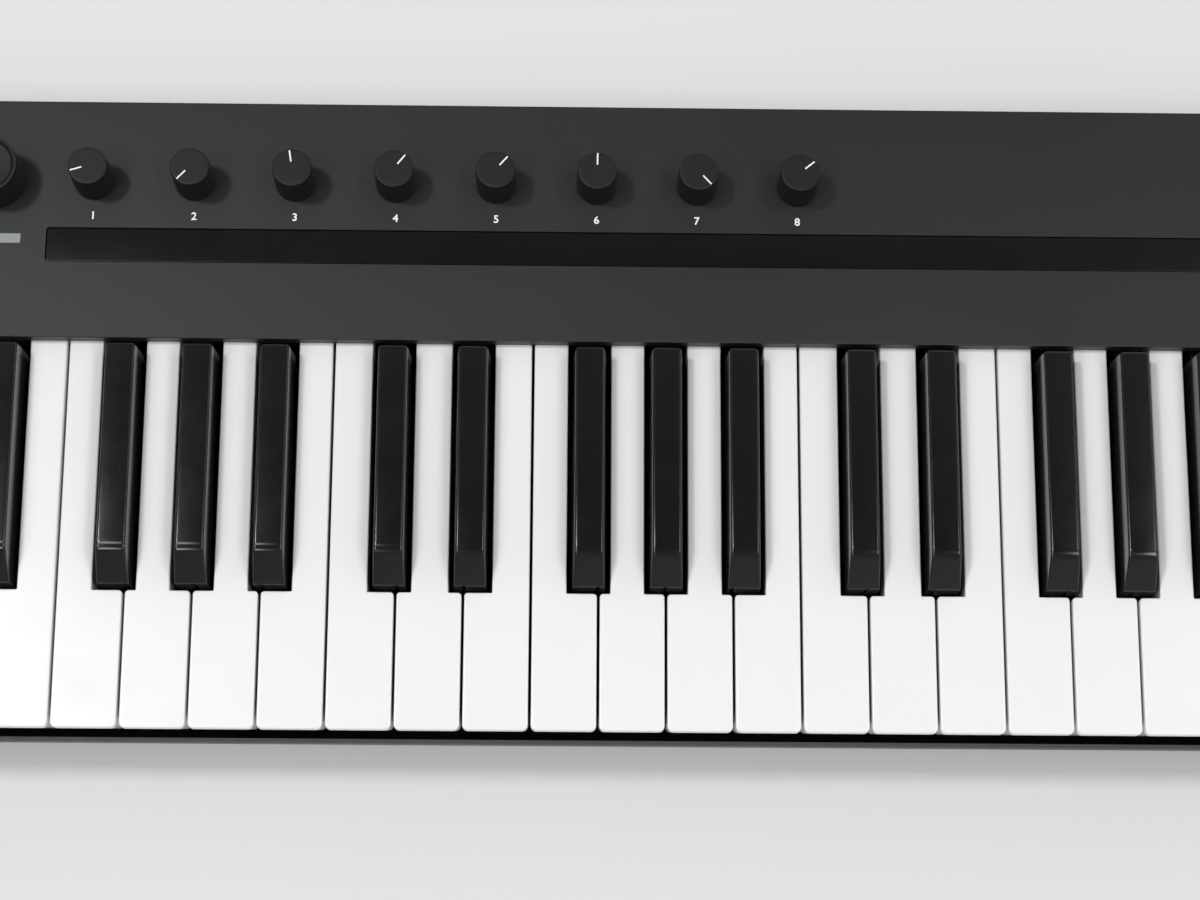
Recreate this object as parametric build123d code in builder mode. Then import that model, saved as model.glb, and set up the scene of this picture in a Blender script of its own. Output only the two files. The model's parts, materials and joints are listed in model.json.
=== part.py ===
"""A 37-key MIDI keyboard: eight control knobs, an encoder, a display strip, two wheels and an octave rocker.

Millimetres. The origin is the middle of the footprint at the height of the feet's soles.
+X runs to the player's right, +Y to the rear, +Z up.
"""

from build123d import *
import os

# Overall size
WIDTH = 625.0
DEPTH = 227.5
FRONT = -DEPTH / 2
REAR = DEPTH / 2
LEFT = -WIDTH / 2
RIGHT = WIDTH / 2

# Heights
FOOT_H = 3.0
KEY_TOP = 58.0
PANEL_T = 2.2
PANEL_TOP = KEY_TOP + 6.0
PANEL_UNDER = PANEL_TOP - PANEL_T
PANEL_EDGE_R = 0.5
FLANGE_T = 1.6
FLANGE_DROP = 2.6
LIP_TOP = KEY_TOP - 20.0
WALL = 2.5
FLOOR_TOP = FOOT_H + WALL
CLOSE = 0.01

# Keybed
OCTAVES = 3
PITCH = 23.5
KEY_GAP = 1.0
WHITES = 7 * OCTAVES + 1
KEYS_LEFT = LEFT + 98.0
KEYS_RIGHT = KEYS_LEFT + WHITES * PITCH
KEYS_FRONT = FRONT + 2.1
PANEL_FRONT = KEYS_FRONT + 137.1
SHOULDER_Y = KEYS_FRONT + 47.9
PIVOT_Y = KEYS_FRONT + 158.0
PIVOT_Z = KEY_TOP - 8.0
HEEL_Y = PIVOT_Y + 6.0
HEEL_STEP_Y = PIVOT_Y + 3.0
NECK_Y = PIVOT_Y - 14.0
CHEEK_GAP = 0.4
CORNER_R = 2.2

# White keys
WHITE_H = 14.0
LIP_H = 3.2
LIP_OVERHANG = 2.6
SKIRT_T = 2.4
SKIRT_H = 21.0
WHITE_CORNER_R = 1.9
WHITE_EDGE_R = 0.6
SHOULDER_R = 1.2
WHITE_NECK_W = 8.4

# Black keys: the wells are cut off centre, as on a piano
WELL_W = 15.2
WELL_OFFSETS = {"c": -2.1, "d": 2.5, "f": -3.45, "g": 0.0, "a": 3.55}
NOTES = ["c", "d", "e", "f", "g", "a", "b"]
BLACK_W = 12.0
BLACK_TOP_W = 10.2
BLACK_H = 11.5
BLACK_DROP = 10.0
BLACK_FRONT_Y = SHOULDER_Y + 1.6
BLACK_CROWN_Y = KEYS_FRONT + 60.5
BLACK_BACK_Y = KEYS_FRONT + 133.8
BLACK_SLOPE_Z = 2.6
BLACK_CROWN_R = 3.0
BLACK_EDGE_R = 1.3
BLACK_NECK_W = 8.0
BLACK_NECK_TOP = KEY_TOP - 2.5
BLACK_NECK_BOTTOM = KEY_TOP - 13.0
BLACK_NECK_LAP = 3.0

# Pivots
ROD_R = 2.0
RUNNING_GAP = 0.05
HEEL_TOP = PIVOT_Z
RIB_T = 1.8
AXLE_R = 2.5

# Controls on the panel
KNOB_GAP = 0.6
KNOB_RIM_R = 0.4
KNOB_COUNT = 8
KNOB_PITCH = 35.86
KNOB_X = -136.77
KNOB_Y = KEYS_FRONT + 195.3
KNOB_H = 15.6
KNOB_TOP_R = 7.05
KNOB_BASE_R = 7.3
STEM_R = 3.0
STEM_HOLE_R = 3.5
STEM_FLOOR_GAP = 1.0
ENCODER_X = -172.2
ENCODER_R = 10.7
ENCODER_H = 16.4
ENCODER_DISH_R = 8.8
ENCODER_DISH_DEPTH = 1.1
WINDOW_X0 = -152.8
WINDOW_X1 = 284.5
WINDOW_Y0 = KEYS_FRONT + 165.3
WINDOW_Y1 = KEYS_FRONT + 177.5
WINDOW_T = 2.6
WINDOW_SINK = 0.3
WINDOW_GAP = 0.3
WINDOW_R = 1.0

# Left block
WHEEL_Y = FRONT + 74.0
WHEEL_XS = [-283.0, -245.0]
WHEEL_R = 24.0
WHEEL_W = 9.0
WHEEL_Z = PANEL_TOP - 13.0
WHEEL_EDGE_R = 1.2
WHEEL_RIM = 5.0
WHEEL_WEB_SINK = 2.5
WHEEL_HUB_R = 6.5
WHEEL_NOTCH_R = 6.5
WHEEL_NOTCH_RISE = 4.5
WHEEL_SLOT_W = 11.0
WHEEL_SLOT_L = 44.0
WHEEL_SLOT_R = 1.5
AXLE_POST_OUT = 12.0
ROCKER_X = -264.0
ROCKER_Y = FRONT + 134.0
ROCKER_L = 30.0
ROCKER_W = 10.0
ROCKER_SLOT_GAP = 0.5
ROCKER_END_GAP = 1.0
ROCKER_TOP = PANEL_TOP + 1.8
ROCKER_SADDLE = 1.2
ROCKER_SKIRT_Z = PANEL_UNDER - 3.0
ROCKER_PIN_Z = PANEL_UNDER - 7.0
ROCKER_PIN_R = 1.5
ROCKER_POST_OUT = 4.5

# Rear sockets
JACK_XS = [150.0, 174.0]
JACK_R = 3.25
JACK_NOSE_R = 5.5
JACK_L = 26.0
DIN_XS = [202.0, 228.0]
DIN_R = 8.0
DIN_PIN_R = 0.8
DIN_PIN_CIRCLE_R = 5.0
DIN_PIN_L = 7.0
USB_X = 252.0
USB_W = 8.6
USB_H = 7.8
USB_SHELL = 3.2
USB_L = 9.0
SOCKET_Z = 34.0
SOCKET_GAP = 0.2
SOCKET_PROUD_Y = REAR - 0.2

# Boards
BOARD_T = 1.6
CONTROL_BOARD_TOP = PANEL_UNDER - 12.0
POT_H = 6.5
POT_HALF_X = 5.5
POT_HALF_Y = 6.0
POT_SHAFT_R = 4.2
CONTACT_BOARD_TOP = KEY_TOP - 24.0
CONTACT_BOARD_Y0 = KEYS_FRONT + 96.0
CONTACT_BOARD_Y1 = KEYS_FRONT + 122.0
MAIN_BOARD_X0 = -200.0
MAIN_BOARD_X1 = 60.0
MAIN_BOARD_Y0 = REAR - 52.0
MAIN_BOARD_Y1 = REAR - 20.0
MAIN_BOARD_Z = FLOOR_TOP + 5.0

# Underside
FOOT_R = 9.0
FOOT_EDGE_R = 0.8
FOOT_XS = [-270.0, -20.0, 270.0]
FOOT_YS = [FRONT + 30.0, REAR - 26.0]
SCREW_XS = [-300.0, -150.0, 0.0, 150.0, 300.0]
SCREW_YS = [FRONT + 28.0, REAR - 12.0]
SCREW_HEAD_R = 3.0
SCREW_R = 1.5
SCREW_HEAD_H = 2.0
SCREW_L = 8.0
SCREW_SINK = 1.0
CROSS_L = 3.4
CROSS_W = 0.8
BOSS_R = 5.0
BOSS_H = 9.0

PARTS = "parts"


def well_centre(octave, note):
    """X of the middle of the well for the black key just above this white note."""
    gap = KEYS_LEFT + (octave * 7 + NOTES.index(note) + 1) * PITCH
    return gap + WELL_OFFSETS[note]


def white_sides(octave, note):
    """Left and right X of a white key's head, then of its tail between the wells."""
    i = NOTES.index(note)
    left = KEYS_LEFT + (octave * 7 + i) * PITCH + KEY_GAP / 2
    right = left + PITCH - KEY_GAP
    tail_left, tail_right = left, right
    below = NOTES[i - 1]
    first = octave == 0 and i == 0
    last = octave == OCTAVES
    if below in WELL_OFFSETS and not first and i > 0:
        tail_left = well_centre(octave, below) + WELL_W / 2
    if note in WELL_OFFSETS and not last:
        tail_right = well_centre(octave, note) - WELL_W / 2
    return left, right, tail_left, tail_right


def key_list():
    """Every key from left to right: its node name, colour, octave, note and the X of its neck."""
    keys = []
    for octave in range(OCTAVES + 1):
        for note in NOTES:
            if octave == OCTAVES and note != "c":
                break
            sides = white_sides(octave, note)
            name = f"white_key_{note}{octave + 3}"
            keys.append((name, "white", octave, note, (sides[2] + sides[3]) / 2))
            if note in WELL_OFFSETS and octave < OCTAVES:
                name = f"black_key_{note}_sharp_{octave + 3}"
                keys.append((name, "black", octave, note, well_centre(octave, note)))
    return keys


def block(x0, x1, y0, y1, z0, z1, mode=Mode.ADD):
    """A plain rectangular block between six planes, in the part that is being built."""
    with BuildSketch(Plane.XY.offset(z0), mode=Mode.PRIVATE) as face:
        with Locations(((x0 + x1) / 2, (y0 + y1) / 2)):
            Rectangle(x1 - x0, y1 - y0)
    extrude(face.sketch, amount=z1 - z0, mode=mode)


def along_x(points, x0, x1, mode=Mode.ADD):
    """A profile of (y, z) points carried from x0 to x1."""
    with BuildSketch(Plane.YZ.offset(x0), mode=Mode.PRIVATE) as face:
        with BuildLine():
            Polyline(*points, close=True)
        make_face()
    extrude(face.sketch, amount=x1 - x0, mode=mode)


def bore_x(y, z, radius, x0, x1):
    """A round hole along X."""
    with BuildSketch(Plane.YZ.offset(x0), mode=Mode.PRIVATE) as face:
        with Locations((y, z)):
            Circle(radius)
    extrude(face.sketch, amount=x1 - x0, mode=Mode.SUBTRACT)


def save(part, name):
    """Labels a finished piece and writes its own file."""
    part.label = name
    export_step(part, f"{PARTS}/{name}.step")


def white_key(name, octave, note):
    """A white key: overhanging front lip, skirt, shouldered head, tail, narrow neck and bored heel."""
    left, right, tail_left, tail_right = white_sides(octave, note)
    neck = (tail_left + tail_right) / 2
    with BuildPart() as key:
        with BuildSketch(Plane.XY.offset(KEY_TOP)) as outline:
            with BuildLine():
                Polyline(
                    (left, KEYS_FRONT),
                    (right, KEYS_FRONT),
                    (right, SHOULDER_Y),
                    (tail_right, SHOULDER_Y) if tail_right < right else (right, SHOULDER_Y + 1),
                    (tail_right, NECK_Y),
                    (neck + WHITE_NECK_W / 2, NECK_Y + 2),
                    (neck + WHITE_NECK_W / 2, HEEL_Y),
                    (neck - WHITE_NECK_W / 2, HEEL_Y),
                    (neck - WHITE_NECK_W / 2, NECK_Y + 2),
                    (tail_left, NECK_Y),
                    (tail_left, SHOULDER_Y) if tail_left > left else (left, SHOULDER_Y + 1),
                    (left, SHOULDER_Y),
                    close=True,
                )
            make_face()
            corners = outline.vertices().group_by(Axis.Y)
            fillet(corners[0], WHITE_CORNER_R)
            stepped = [x for x, tail in ((left, tail_left), (right, tail_right)) if x != tail]
            shoulders = [
                v
                for v in outline.vertices()
                if abs(v.Y - SHOULDER_Y) < CLOSE and any(abs(v.X - x) < CLOSE for x in stepped)
            ]
            fillet(shoulders, SHOULDER_R)
        extrude(amount=-SKIRT_H)
        # under the head and tail, behind the front skirt
        block(
            left - 1,
            right + 1,
            KEYS_FRONT + LIP_OVERHANG + SKIRT_T,
            HEEL_Y + 1,
            KEY_TOP - SKIRT_H - 1,
            KEY_TOP - WHITE_H,
            Mode.SUBTRACT,
        )
        # the recess under the front lip
        block(
            left - 1,
            right + 1,
            KEYS_FRONT - 1,
            KEYS_FRONT + LIP_OVERHANG,
            KEY_TOP - SKIRT_H - 1,
            KEY_TOP - LIP_H,
            Mode.SUBTRACT,
        )
        # the heel steps down behind the pivot, where the spring finger presses
        block(left - 1, right + 1, HEEL_STEP_Y, HEEL_Y + 1, HEEL_TOP, KEY_TOP + 1, Mode.SUBTRACT)
        top = key.faces().sort_by(Axis.Z)[-1]
        fillet(top.edges(), WHITE_EDGE_R)
        bore_x(PIVOT_Y, PIVOT_Z, ROD_R + RUNNING_GAP, left - 1, right + 1)
    save(key.part, name)


def black_key(name, octave, note):
    """A black key: drafted body with a sloping nose and rounded crown, low neck and bored heel."""
    centre = well_centre(octave, note)
    base = KEY_TOP - BLACK_DROP
    crown = KEY_TOP + BLACK_H
    nose = KEY_TOP + BLACK_SLOPE_Z
    draft_run = (BLACK_W - BLACK_TOP_W) / 2
    with BuildPart() as key:
        along_x(
            [
                (BLACK_FRONT_Y, base),
                (BLACK_BACK_Y, base),
                (BLACK_BACK_Y, crown),
                (BLACK_CROWN_Y, crown),
                (BLACK_FRONT_Y + 0.5, nose),
            ],
            centre - BLACK_W / 2,
            centre + BLACK_W / 2,
        )
        for side in (-1, 1):
            # the flanks lean in above the level of the white keys
            with BuildSketch(Plane.XZ.offset(-BLACK_BACK_Y - 1), mode=Mode.PRIVATE) as flank:
                with BuildLine():
                    Polyline(
                        (centre + side * BLACK_W / 2, KEY_TOP),
                        (centre + side * (BLACK_W / 2 + 2), KEY_TOP),
                        (centre + side * (BLACK_W / 2 + 2), crown + 1),
                        (centre + side * (BLACK_W / 2 - draft_run * (1 + 1 / BLACK_H)), crown + 1),
                        close=True,
                    )
                make_face()
            extrude(flank.sketch, amount=BLACK_BACK_Y - BLACK_FRONT_Y + 2, mode=Mode.SUBTRACT)
        crest = key.faces().filter_by(Axis.Z).sort_by(Axis.Z)[-1]
        ridge = crest.edges().filter_by(Axis.X).sort_by(Axis.Y)
        fillet(ridge[0], BLACK_CROWN_R)
        flank_edges = [
            e for e in key.edges() if e.center().Z > nose - 0.1 and abs(e.center().X - centre) > 1.0
        ]
        at_back = [e for e in key.edges() if e.center().Y > BLACK_BACK_Y - 0.1]
        rear_edge = [e for e in at_back if e.center().Z > crown - 0.1]
        fillet(flank_edges + rear_edge, BLACK_EDGE_R)
        block(
            centre - BLACK_NECK_W / 2,
            centre + BLACK_NECK_W / 2,
            BLACK_BACK_Y - BLACK_NECK_LAP,
            HEEL_Y,
            BLACK_NECK_BOTTOM,
            BLACK_NECK_TOP,
        )
        near = centre - BLACK_W / 2
        far = centre + BLACK_W / 2
        block(near, far, HEEL_STEP_Y, HEEL_Y + 1, HEEL_TOP, KEY_TOP, Mode.SUBTRACT)
        bore_x(PIVOT_Y, PIVOT_Z, ROD_R + RUNNING_GAP, near, far)
    save(key.part, name)


def make_keys():
    for name, colour, octave, note, _ in key_list():
        if colour == "white":
            white_key(name, octave, note)
        else:
            black_key(name, octave, note)


def make_knob(name, x, base_r, top_r, height, dish):
    """A tapered knob with a stem that turns in the control below the panel."""
    foot = PANEL_TOP + KNOB_GAP
    with BuildPart() as knob:
        with BuildSketch(Plane.XZ.offset(-KNOB_Y)):
            with BuildLine():
                Polyline(
                    (x, foot),
                    (x + base_r, foot),
                    (x + top_r, foot + height),
                    (x, foot + height),
                    close=True,
                )
            make_face()
        revolve(axis=Axis((x, KNOB_Y, 0), (0, 0, 1)))
        rim = knob.edges().filter_by(GeomType.CIRCLE).sort_by(Axis.Z)[-1]
        fillet(rim, KNOB_RIM_R)
        if dish:
            with BuildSketch(Plane.XY.offset(foot + height)):
                with Locations((x, KNOB_Y)):
                    Circle(ENCODER_DISH_R)
            extrude(amount=-ENCODER_DISH_DEPTH, mode=Mode.SUBTRACT)
        with BuildSketch(Plane.XY.offset(foot)):
            with Locations((x, KNOB_Y)):
                Circle(STEM_R)
        extrude(amount=CONTROL_BOARD_TOP + STEM_FLOOR_GAP - foot)
    save(knob.part, name)


def knob_x(index):
    return KNOB_X + KNOB_PITCH * index


def control_centres():
    """X and Y of the encoder's axis, then of each knob's."""
    return [(ENCODER_X, KNOB_Y)] + [(knob_x(i), KNOB_Y) for i in range(KNOB_COUNT)]


def make_knobs():
    for index in range(KNOB_COUNT):
        make_knob(f"knob_{index + 1}", knob_x(index), KNOB_BASE_R, KNOB_TOP_R, KNOB_H, False)
    make_knob("value_encoder", ENCODER_X, ENCODER_R + 0.3, ENCODER_R, ENCODER_H, True)


def make_potentiometers():
    """Hollow-shaft potentiometers, and the encoder body, on the control board."""
    with BuildPart() as pots:
        centres = control_centres()
        for x, _ in centres:
            block(
                x - POT_HALF_X,
                x + POT_HALF_X,
                KNOB_Y - POT_HALF_Y,
                KNOB_Y + POT_HALF_Y,
                CONTROL_BOARD_TOP,
                CONTROL_BOARD_TOP + POT_H,
            )
        with BuildSketch(Plane.XY.offset(CONTROL_BOARD_TOP + POT_H)):
            with Locations(*centres):
                Circle(POT_SHAFT_R)
        extrude(amount=PANEL_UNDER - CONTROL_BOARD_TOP - POT_H)
        with BuildSketch(Plane.XY.offset(CONTROL_BOARD_TOP)):
            with Locations(*centres):
                Circle(STEM_R + RUNNING_GAP)
        extrude(amount=PANEL_UNDER - CONTROL_BOARD_TOP, mode=Mode.SUBTRACT)
    save(pots.part, "knob_potentiometers")


def make_wheel(name, x):
    """A thumb wheel on the wheel axle, with a finger notch across its rim and a hub."""
    with BuildPart() as wheel:
        with BuildSketch(Plane.YZ.offset(x - WHEEL_W / 2)):
            with Locations((WHEEL_Y, WHEEL_Z)):
                Circle(WHEEL_R)
        extrude(amount=WHEEL_W)
        rims = wheel.edges().filter_by(GeomType.CIRCLE)
        fillet(rims, WHEEL_EDGE_R)
        for side in (-1, 1):
            start = x - WHEEL_W / 2 if side < 0 else x + WHEEL_W / 2 - WHEEL_WEB_SINK
            with BuildSketch(Plane.YZ.offset(start)):
                with Locations((WHEEL_Y, WHEEL_Z)):
                    Circle(WHEEL_R - WHEEL_RIM)
                    Circle(WHEEL_HUB_R, mode=Mode.SUBTRACT)
            extrude(amount=WHEEL_WEB_SINK, mode=Mode.SUBTRACT)
        with BuildSketch(Plane.YZ.offset(x - WHEEL_W / 2 - 1)):
            with Locations((WHEEL_Y, WHEEL_Z + WHEEL_R + WHEEL_NOTCH_RISE)):
                Circle(WHEEL_NOTCH_R)
        extrude(amount=WHEEL_W + 2, mode=Mode.SUBTRACT)
        bore_x(WHEEL_Y, WHEEL_Z, AXLE_R + RUNNING_GAP, x - WHEEL_W, x + WHEEL_W)
    save(wheel.part, name)


def make_rocker():
    """The octave rocker: a shallow saddle-topped cap that tips left and right about its middle."""
    half = ROCKER_L / 2
    with BuildPart() as rocker:
        with BuildSketch(Plane.XZ.offset(-(ROCKER_Y + ROCKER_W / 2))):
            with BuildLine():
                top_left = (ROCKER_X - half, ROCKER_TOP)
                top_right = (ROCKER_X + half, ROCKER_TOP)
                foot_right = (ROCKER_X + half - 1.0, ROCKER_SKIRT_Z)
                foot_left = (ROCKER_X - half + 1.0, ROCKER_SKIRT_Z)
                ThreePointArc(top_left, (ROCKER_X, ROCKER_TOP - ROCKER_SADDLE), top_right)
                Polyline(top_right, foot_right, foot_left, top_left)
            make_face()
        extrude(amount=ROCKER_W)
        long_edges = rocker.edges().filter_by(lambda e: e.center().Z > ROCKER_TOP - ROCKER_SADDLE - 0.1)
        fillet(long_edges, 0.5)
        block(ROCKER_X - 3, ROCKER_X + 3, ROCKER_Y - 3, ROCKER_Y + 3, ROCKER_PIN_Z - 3, PANEL_UNDER - 2)
        with BuildSketch(Plane.XZ.offset(-(ROCKER_Y + 6))):
            with Locations((ROCKER_X, ROCKER_PIN_Z)):
                Circle(ROCKER_PIN_R + RUNNING_GAP)
        extrude(amount=12, mode=Mode.SUBTRACT)
    save(rocker.part, "octave_rocker")


def make_panel():
    """The top panel: one flat plate round three sides of the keys, with a folded front edge."""
    with BuildPart() as panel:
        with BuildSketch(Plane.XY.offset(PANEL_UNDER)) as plate:
            with Locations((0, 0)):
                Rectangle(WIDTH, DEPTH)
            fillet(plate.vertices(), CORNER_R)
            opening_w = KEYS_RIGHT - KEYS_LEFT + 2 * CHEEK_GAP
            with Locations(((KEYS_LEFT + KEYS_RIGHT) / 2, (FRONT - 10 + PANEL_FRONT) / 2)):
                Rectangle(opening_w, PANEL_FRONT - FRONT + 10, mode=Mode.SUBTRACT)
        extrude(amount=PANEL_T)
        rim = panel.faces().sort_by(Axis.Z)[-1].edges()
        fillet(rim, PANEL_EDGE_R)
        with BuildSketch(Plane.XY.offset(PANEL_UNDER)):
            with Locations(*control_centres()):
                Circle(STEM_HOLE_R)
            for x in WHEEL_XS:
                with Locations((x, WHEEL_Y)):
                    RectangleRounded(WHEEL_SLOT_W, WHEEL_SLOT_L, WHEEL_SLOT_R)
            with Locations((ROCKER_X, ROCKER_Y)):
                RectangleRounded(ROCKER_L + 2 * ROCKER_END_GAP, ROCKER_W + 2 * ROCKER_SLOT_GAP, 1.0)
            with Locations(((WINDOW_X0 + WINDOW_X1) / 2, (WINDOW_Y0 + WINDOW_Y1) / 2)):
                RectangleRounded(
                    WINDOW_X1 - WINDOW_X0 + 2 * WINDOW_GAP,
                    WINDOW_Y1 - WINDOW_Y0 + 2 * WINDOW_GAP,
                    WINDOW_R + WINDOW_GAP,
                )
        extrude(amount=PANEL_T, mode=Mode.SUBTRACT)
        # the edge behind the keys is folded down and closes the gap above their tails
        fold_back = PANEL_FRONT + FLANGE_T
        block(KEYS_LEFT, KEYS_RIGHT, PANEL_FRONT, fold_back, PANEL_UNDER - FLANGE_DROP, PANEL_UNDER)
    save(panel.part, "top_panel")


def make_window():
    """The display window, a dark pane let into the panel."""
    with BuildPart() as window:
        with BuildSketch(Plane.XY.offset(PANEL_TOP - WINDOW_SINK - WINDOW_T)):
            with Locations(((WINDOW_X0 + WINDOW_X1) / 2, (WINDOW_Y0 + WINDOW_Y1) / 2)):
                RectangleRounded(WINDOW_X1 - WINDOW_X0, WINDOW_Y1 - WINDOW_Y0, WINDOW_R)
        extrude(amount=WINDOW_T)
        top = window.faces().sort_by(Axis.Z)[-1]
        fillet(top.edges(), 0.25)
    save(window.part, "display_window")


def make_case():
    """The bottom case: floor, slanted front, rear wall, ends, and the inner cheeks beside the keys."""
    slope_top = LIP_TOP - 4.0
    slope_run = 10.0
    inner_left = KEYS_LEFT - CHEEK_GAP
    inner_right = KEYS_RIGHT + CHEEK_GAP
    outline = [
        (FRONT, LIP_TOP),
        (FRONT, slope_top),
        (FRONT + slope_run, FOOT_H),
        (REAR - 4, FOOT_H),
        (REAR, FOOT_H + 4),
        (REAR, PANEL_UNDER),
        (REAR - WALL, PANEL_UNDER),
        (REAR - WALL, FLOOR_TOP + 2),
        (REAR - WALL - 2, FLOOR_TOP),
        (FRONT + slope_run + 2.0, FLOOR_TOP),
        (FRONT + 1.5, slope_top),
        (FRONT + 1.5, LIP_TOP),
    ]
    end = [
        (FRONT, PANEL_UNDER),
        (FRONT, slope_top),
        (FRONT + slope_run, FOOT_H),
        (REAR - 4, FOOT_H),
        (REAR, FOOT_H + 4),
        (REAR, PANEL_UNDER),
    ]
    raised_front = [
        (FRONT, PANEL_UNDER),
        (FRONT, slope_top),
        (FRONT + 1.5, slope_top),
        (FRONT + WALL, PANEL_UNDER),
    ]
    cheek = [
        (FRONT, PANEL_UNDER),
        (FRONT, slope_top),
        (FRONT + slope_run, FOOT_H),
        (PANEL_FRONT + 4, FOOT_H),
        (PANEL_FRONT + 4, PANEL_UNDER),
    ]
    with BuildPart() as case:
        along_x(outline, LEFT, RIGHT)
        along_x(end, LEFT, LEFT + WALL)
        along_x(end, RIGHT - WALL, RIGHT)
        along_x(raised_front, LEFT, inner_left)
        along_x(raised_front, inner_right, RIGHT)
        along_x(cheek, inner_left - 2.0, inner_left)
        along_x(cheek, inner_right, inner_right + 2.0)
        corners = [
            e
            for e in case.edges()
            if abs(abs(e.center().X) - RIGHT) < 0.01 and abs(e.tangent_at(0.5).Z) > 0.5
        ]
        fillet(corners, CORNER_R)
        # screw bosses, open below for the screw heads
        for x in SCREW_XS:
            for y in SCREW_YS:
                with BuildSketch(Plane.XY.offset(FOOT_H), mode=Mode.PRIVATE) as boss:
                    with Locations((x, y)):
                        Circle(BOSS_R)
                extrude(boss.sketch, amount=BOSS_H)
                with BuildSketch(Plane.XY.offset(FOOT_H - 1), mode=Mode.PRIVATE) as head:
                    with Locations((x, y)):
                        Circle(SCREW_HEAD_R + 0.3)
                extrude(head.sketch, amount=4.0, mode=Mode.SUBTRACT)
                with BuildSketch(Plane.XY.offset(FOOT_H), mode=Mode.PRIVATE) as shank:
                    with Locations((x, y)):
                        Circle(SCREW_R + 0.1)
                extrude(shank.sketch, amount=BOSS_H, mode=Mode.SUBTRACT)
        # posts that carry the wheel axle
        for x in (WHEEL_XS[0] - AXLE_POST_OUT, sum(WHEEL_XS) / 2, WHEEL_XS[1] + AXLE_POST_OUT):
            block(x - 2, x + 2, WHEEL_Y - 7, WHEEL_Y + 7, FLOOR_TOP - 0.5, WHEEL_Z + 6)
        bore_x(WHEEL_Y, WHEEL_Z, AXLE_R, WHEEL_XS[0] - 16, WHEEL_XS[1] + 16)
        # posts that carry the rocker pin
        for side in (-1, 1):
            y = ROCKER_Y + side * ROCKER_POST_OUT
            block(ROCKER_X - 4, ROCKER_X + 4, y - 1.0, y + 1.0, FLOOR_TOP - 0.5, PANEL_UNDER - 4.0)
        with BuildSketch(Plane.XZ.offset(-(ROCKER_Y + 6)), mode=Mode.PRIVATE) as pin_hole:
            with Locations((ROCKER_X, ROCKER_PIN_Z)):
                Circle(ROCKER_PIN_R)
        extrude(pin_hole.sketch, amount=12, mode=Mode.SUBTRACT)
        # posts under the main board
        for x in (MAIN_BOARD_X0 + 6, MAIN_BOARD_X1 - 6):
            for y in (MAIN_BOARD_Y0 + 4, MAIN_BOARD_Y1 - 4):
                block(x - 3, x + 3, y - 3, y + 3, FLOOR_TOP - 0.5, MAIN_BOARD_Z)
        # openings for the rear sockets
        with BuildSketch(Plane.XZ.offset(-(REAR + 1)), mode=Mode.PRIVATE) as holes:
            with Locations(*[(x, SOCKET_Z) for x in JACK_XS]):
                Circle(JACK_NOSE_R + SOCKET_GAP)
            with Locations(*[(x, SOCKET_Z) for x in DIN_XS]):
                Circle(DIN_R + SOCKET_GAP)
            with Locations((USB_X, SOCKET_Z)):
                Rectangle(USB_W + USB_SHELL + 2 * SOCKET_GAP, USB_H + USB_SHELL + 2 * SOCKET_GAP)
        extrude(holes.sketch, amount=WALL + 2, mode=Mode.SUBTRACT)
    save(case.part, "bottom_case")


def make_sockets():
    """Two pedal jacks, two five-pin sockets and a USB socket in the rear wall."""
    inner = REAR - WALL - 0.3
    with BuildPart() as sockets:
        for x in JACK_XS:
            block(x - 8, x + 8, REAR - JACK_L - 2, inner, SOCKET_Z - 7.5, SOCKET_Z + 7.5)
        for x in DIN_XS:
            block(x - 10, x + 10, REAR - 16, inner, SOCKET_Z - 9.5, SOCKET_Z + 9.5)
        block(USB_X - 6, USB_X + 6, REAR - 17, inner, SOCKET_Z - 6, SOCKET_Z + 6)
        with BuildSketch(Plane.XZ.offset(-inner)):
            with Locations(*[(x, SOCKET_Z) for x in JACK_XS]):
                Circle(JACK_NOSE_R)
            with Locations(*[(x, SOCKET_Z) for x in DIN_XS]):
                Circle(DIN_R)
            with Locations((USB_X, SOCKET_Z)):
                Rectangle(USB_W + USB_SHELL, USB_H + USB_SHELL)
        extrude(amount=-(SOCKET_PROUD_Y - inner))
        mouth = Plane.XZ.offset(-SOCKET_PROUD_Y)
        with BuildSketch(mouth):
            with Locations(*[(x, SOCKET_Z) for x in JACK_XS]):
                Circle(JACK_R)
        extrude(amount=JACK_L, mode=Mode.SUBTRACT)
        with BuildSketch(mouth):
            with Locations((USB_X, SOCKET_Z)):
                Rectangle(USB_W, USB_H)
        extrude(amount=USB_L, mode=Mode.SUBTRACT)
        with BuildSketch(mouth):
            for x in DIN_XS:
                with Locations((x, SOCKET_Z)):
                    with PolarLocations(DIN_PIN_CIRCLE_R, 5, 180, 180, endpoint=True):
                        Circle(DIN_PIN_R)
        extrude(amount=DIN_PIN_L, mode=Mode.SUBTRACT)
    save(sockets.part, "rear_sockets")


def rib_places():
    """X of each rib of the key frame: midway between neighbouring keys' necks, and outside both ends."""
    necks = [key[4] for key in key_list()]
    inner = [(a + b) / 2 for a, b in zip(necks, necks[1:])]
    return [necks[0] - WHITE_NECK_W / 2 - 2.2] + inner + [necks[-1] + WHITE_NECK_W / 2 + 2.2]


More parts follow.
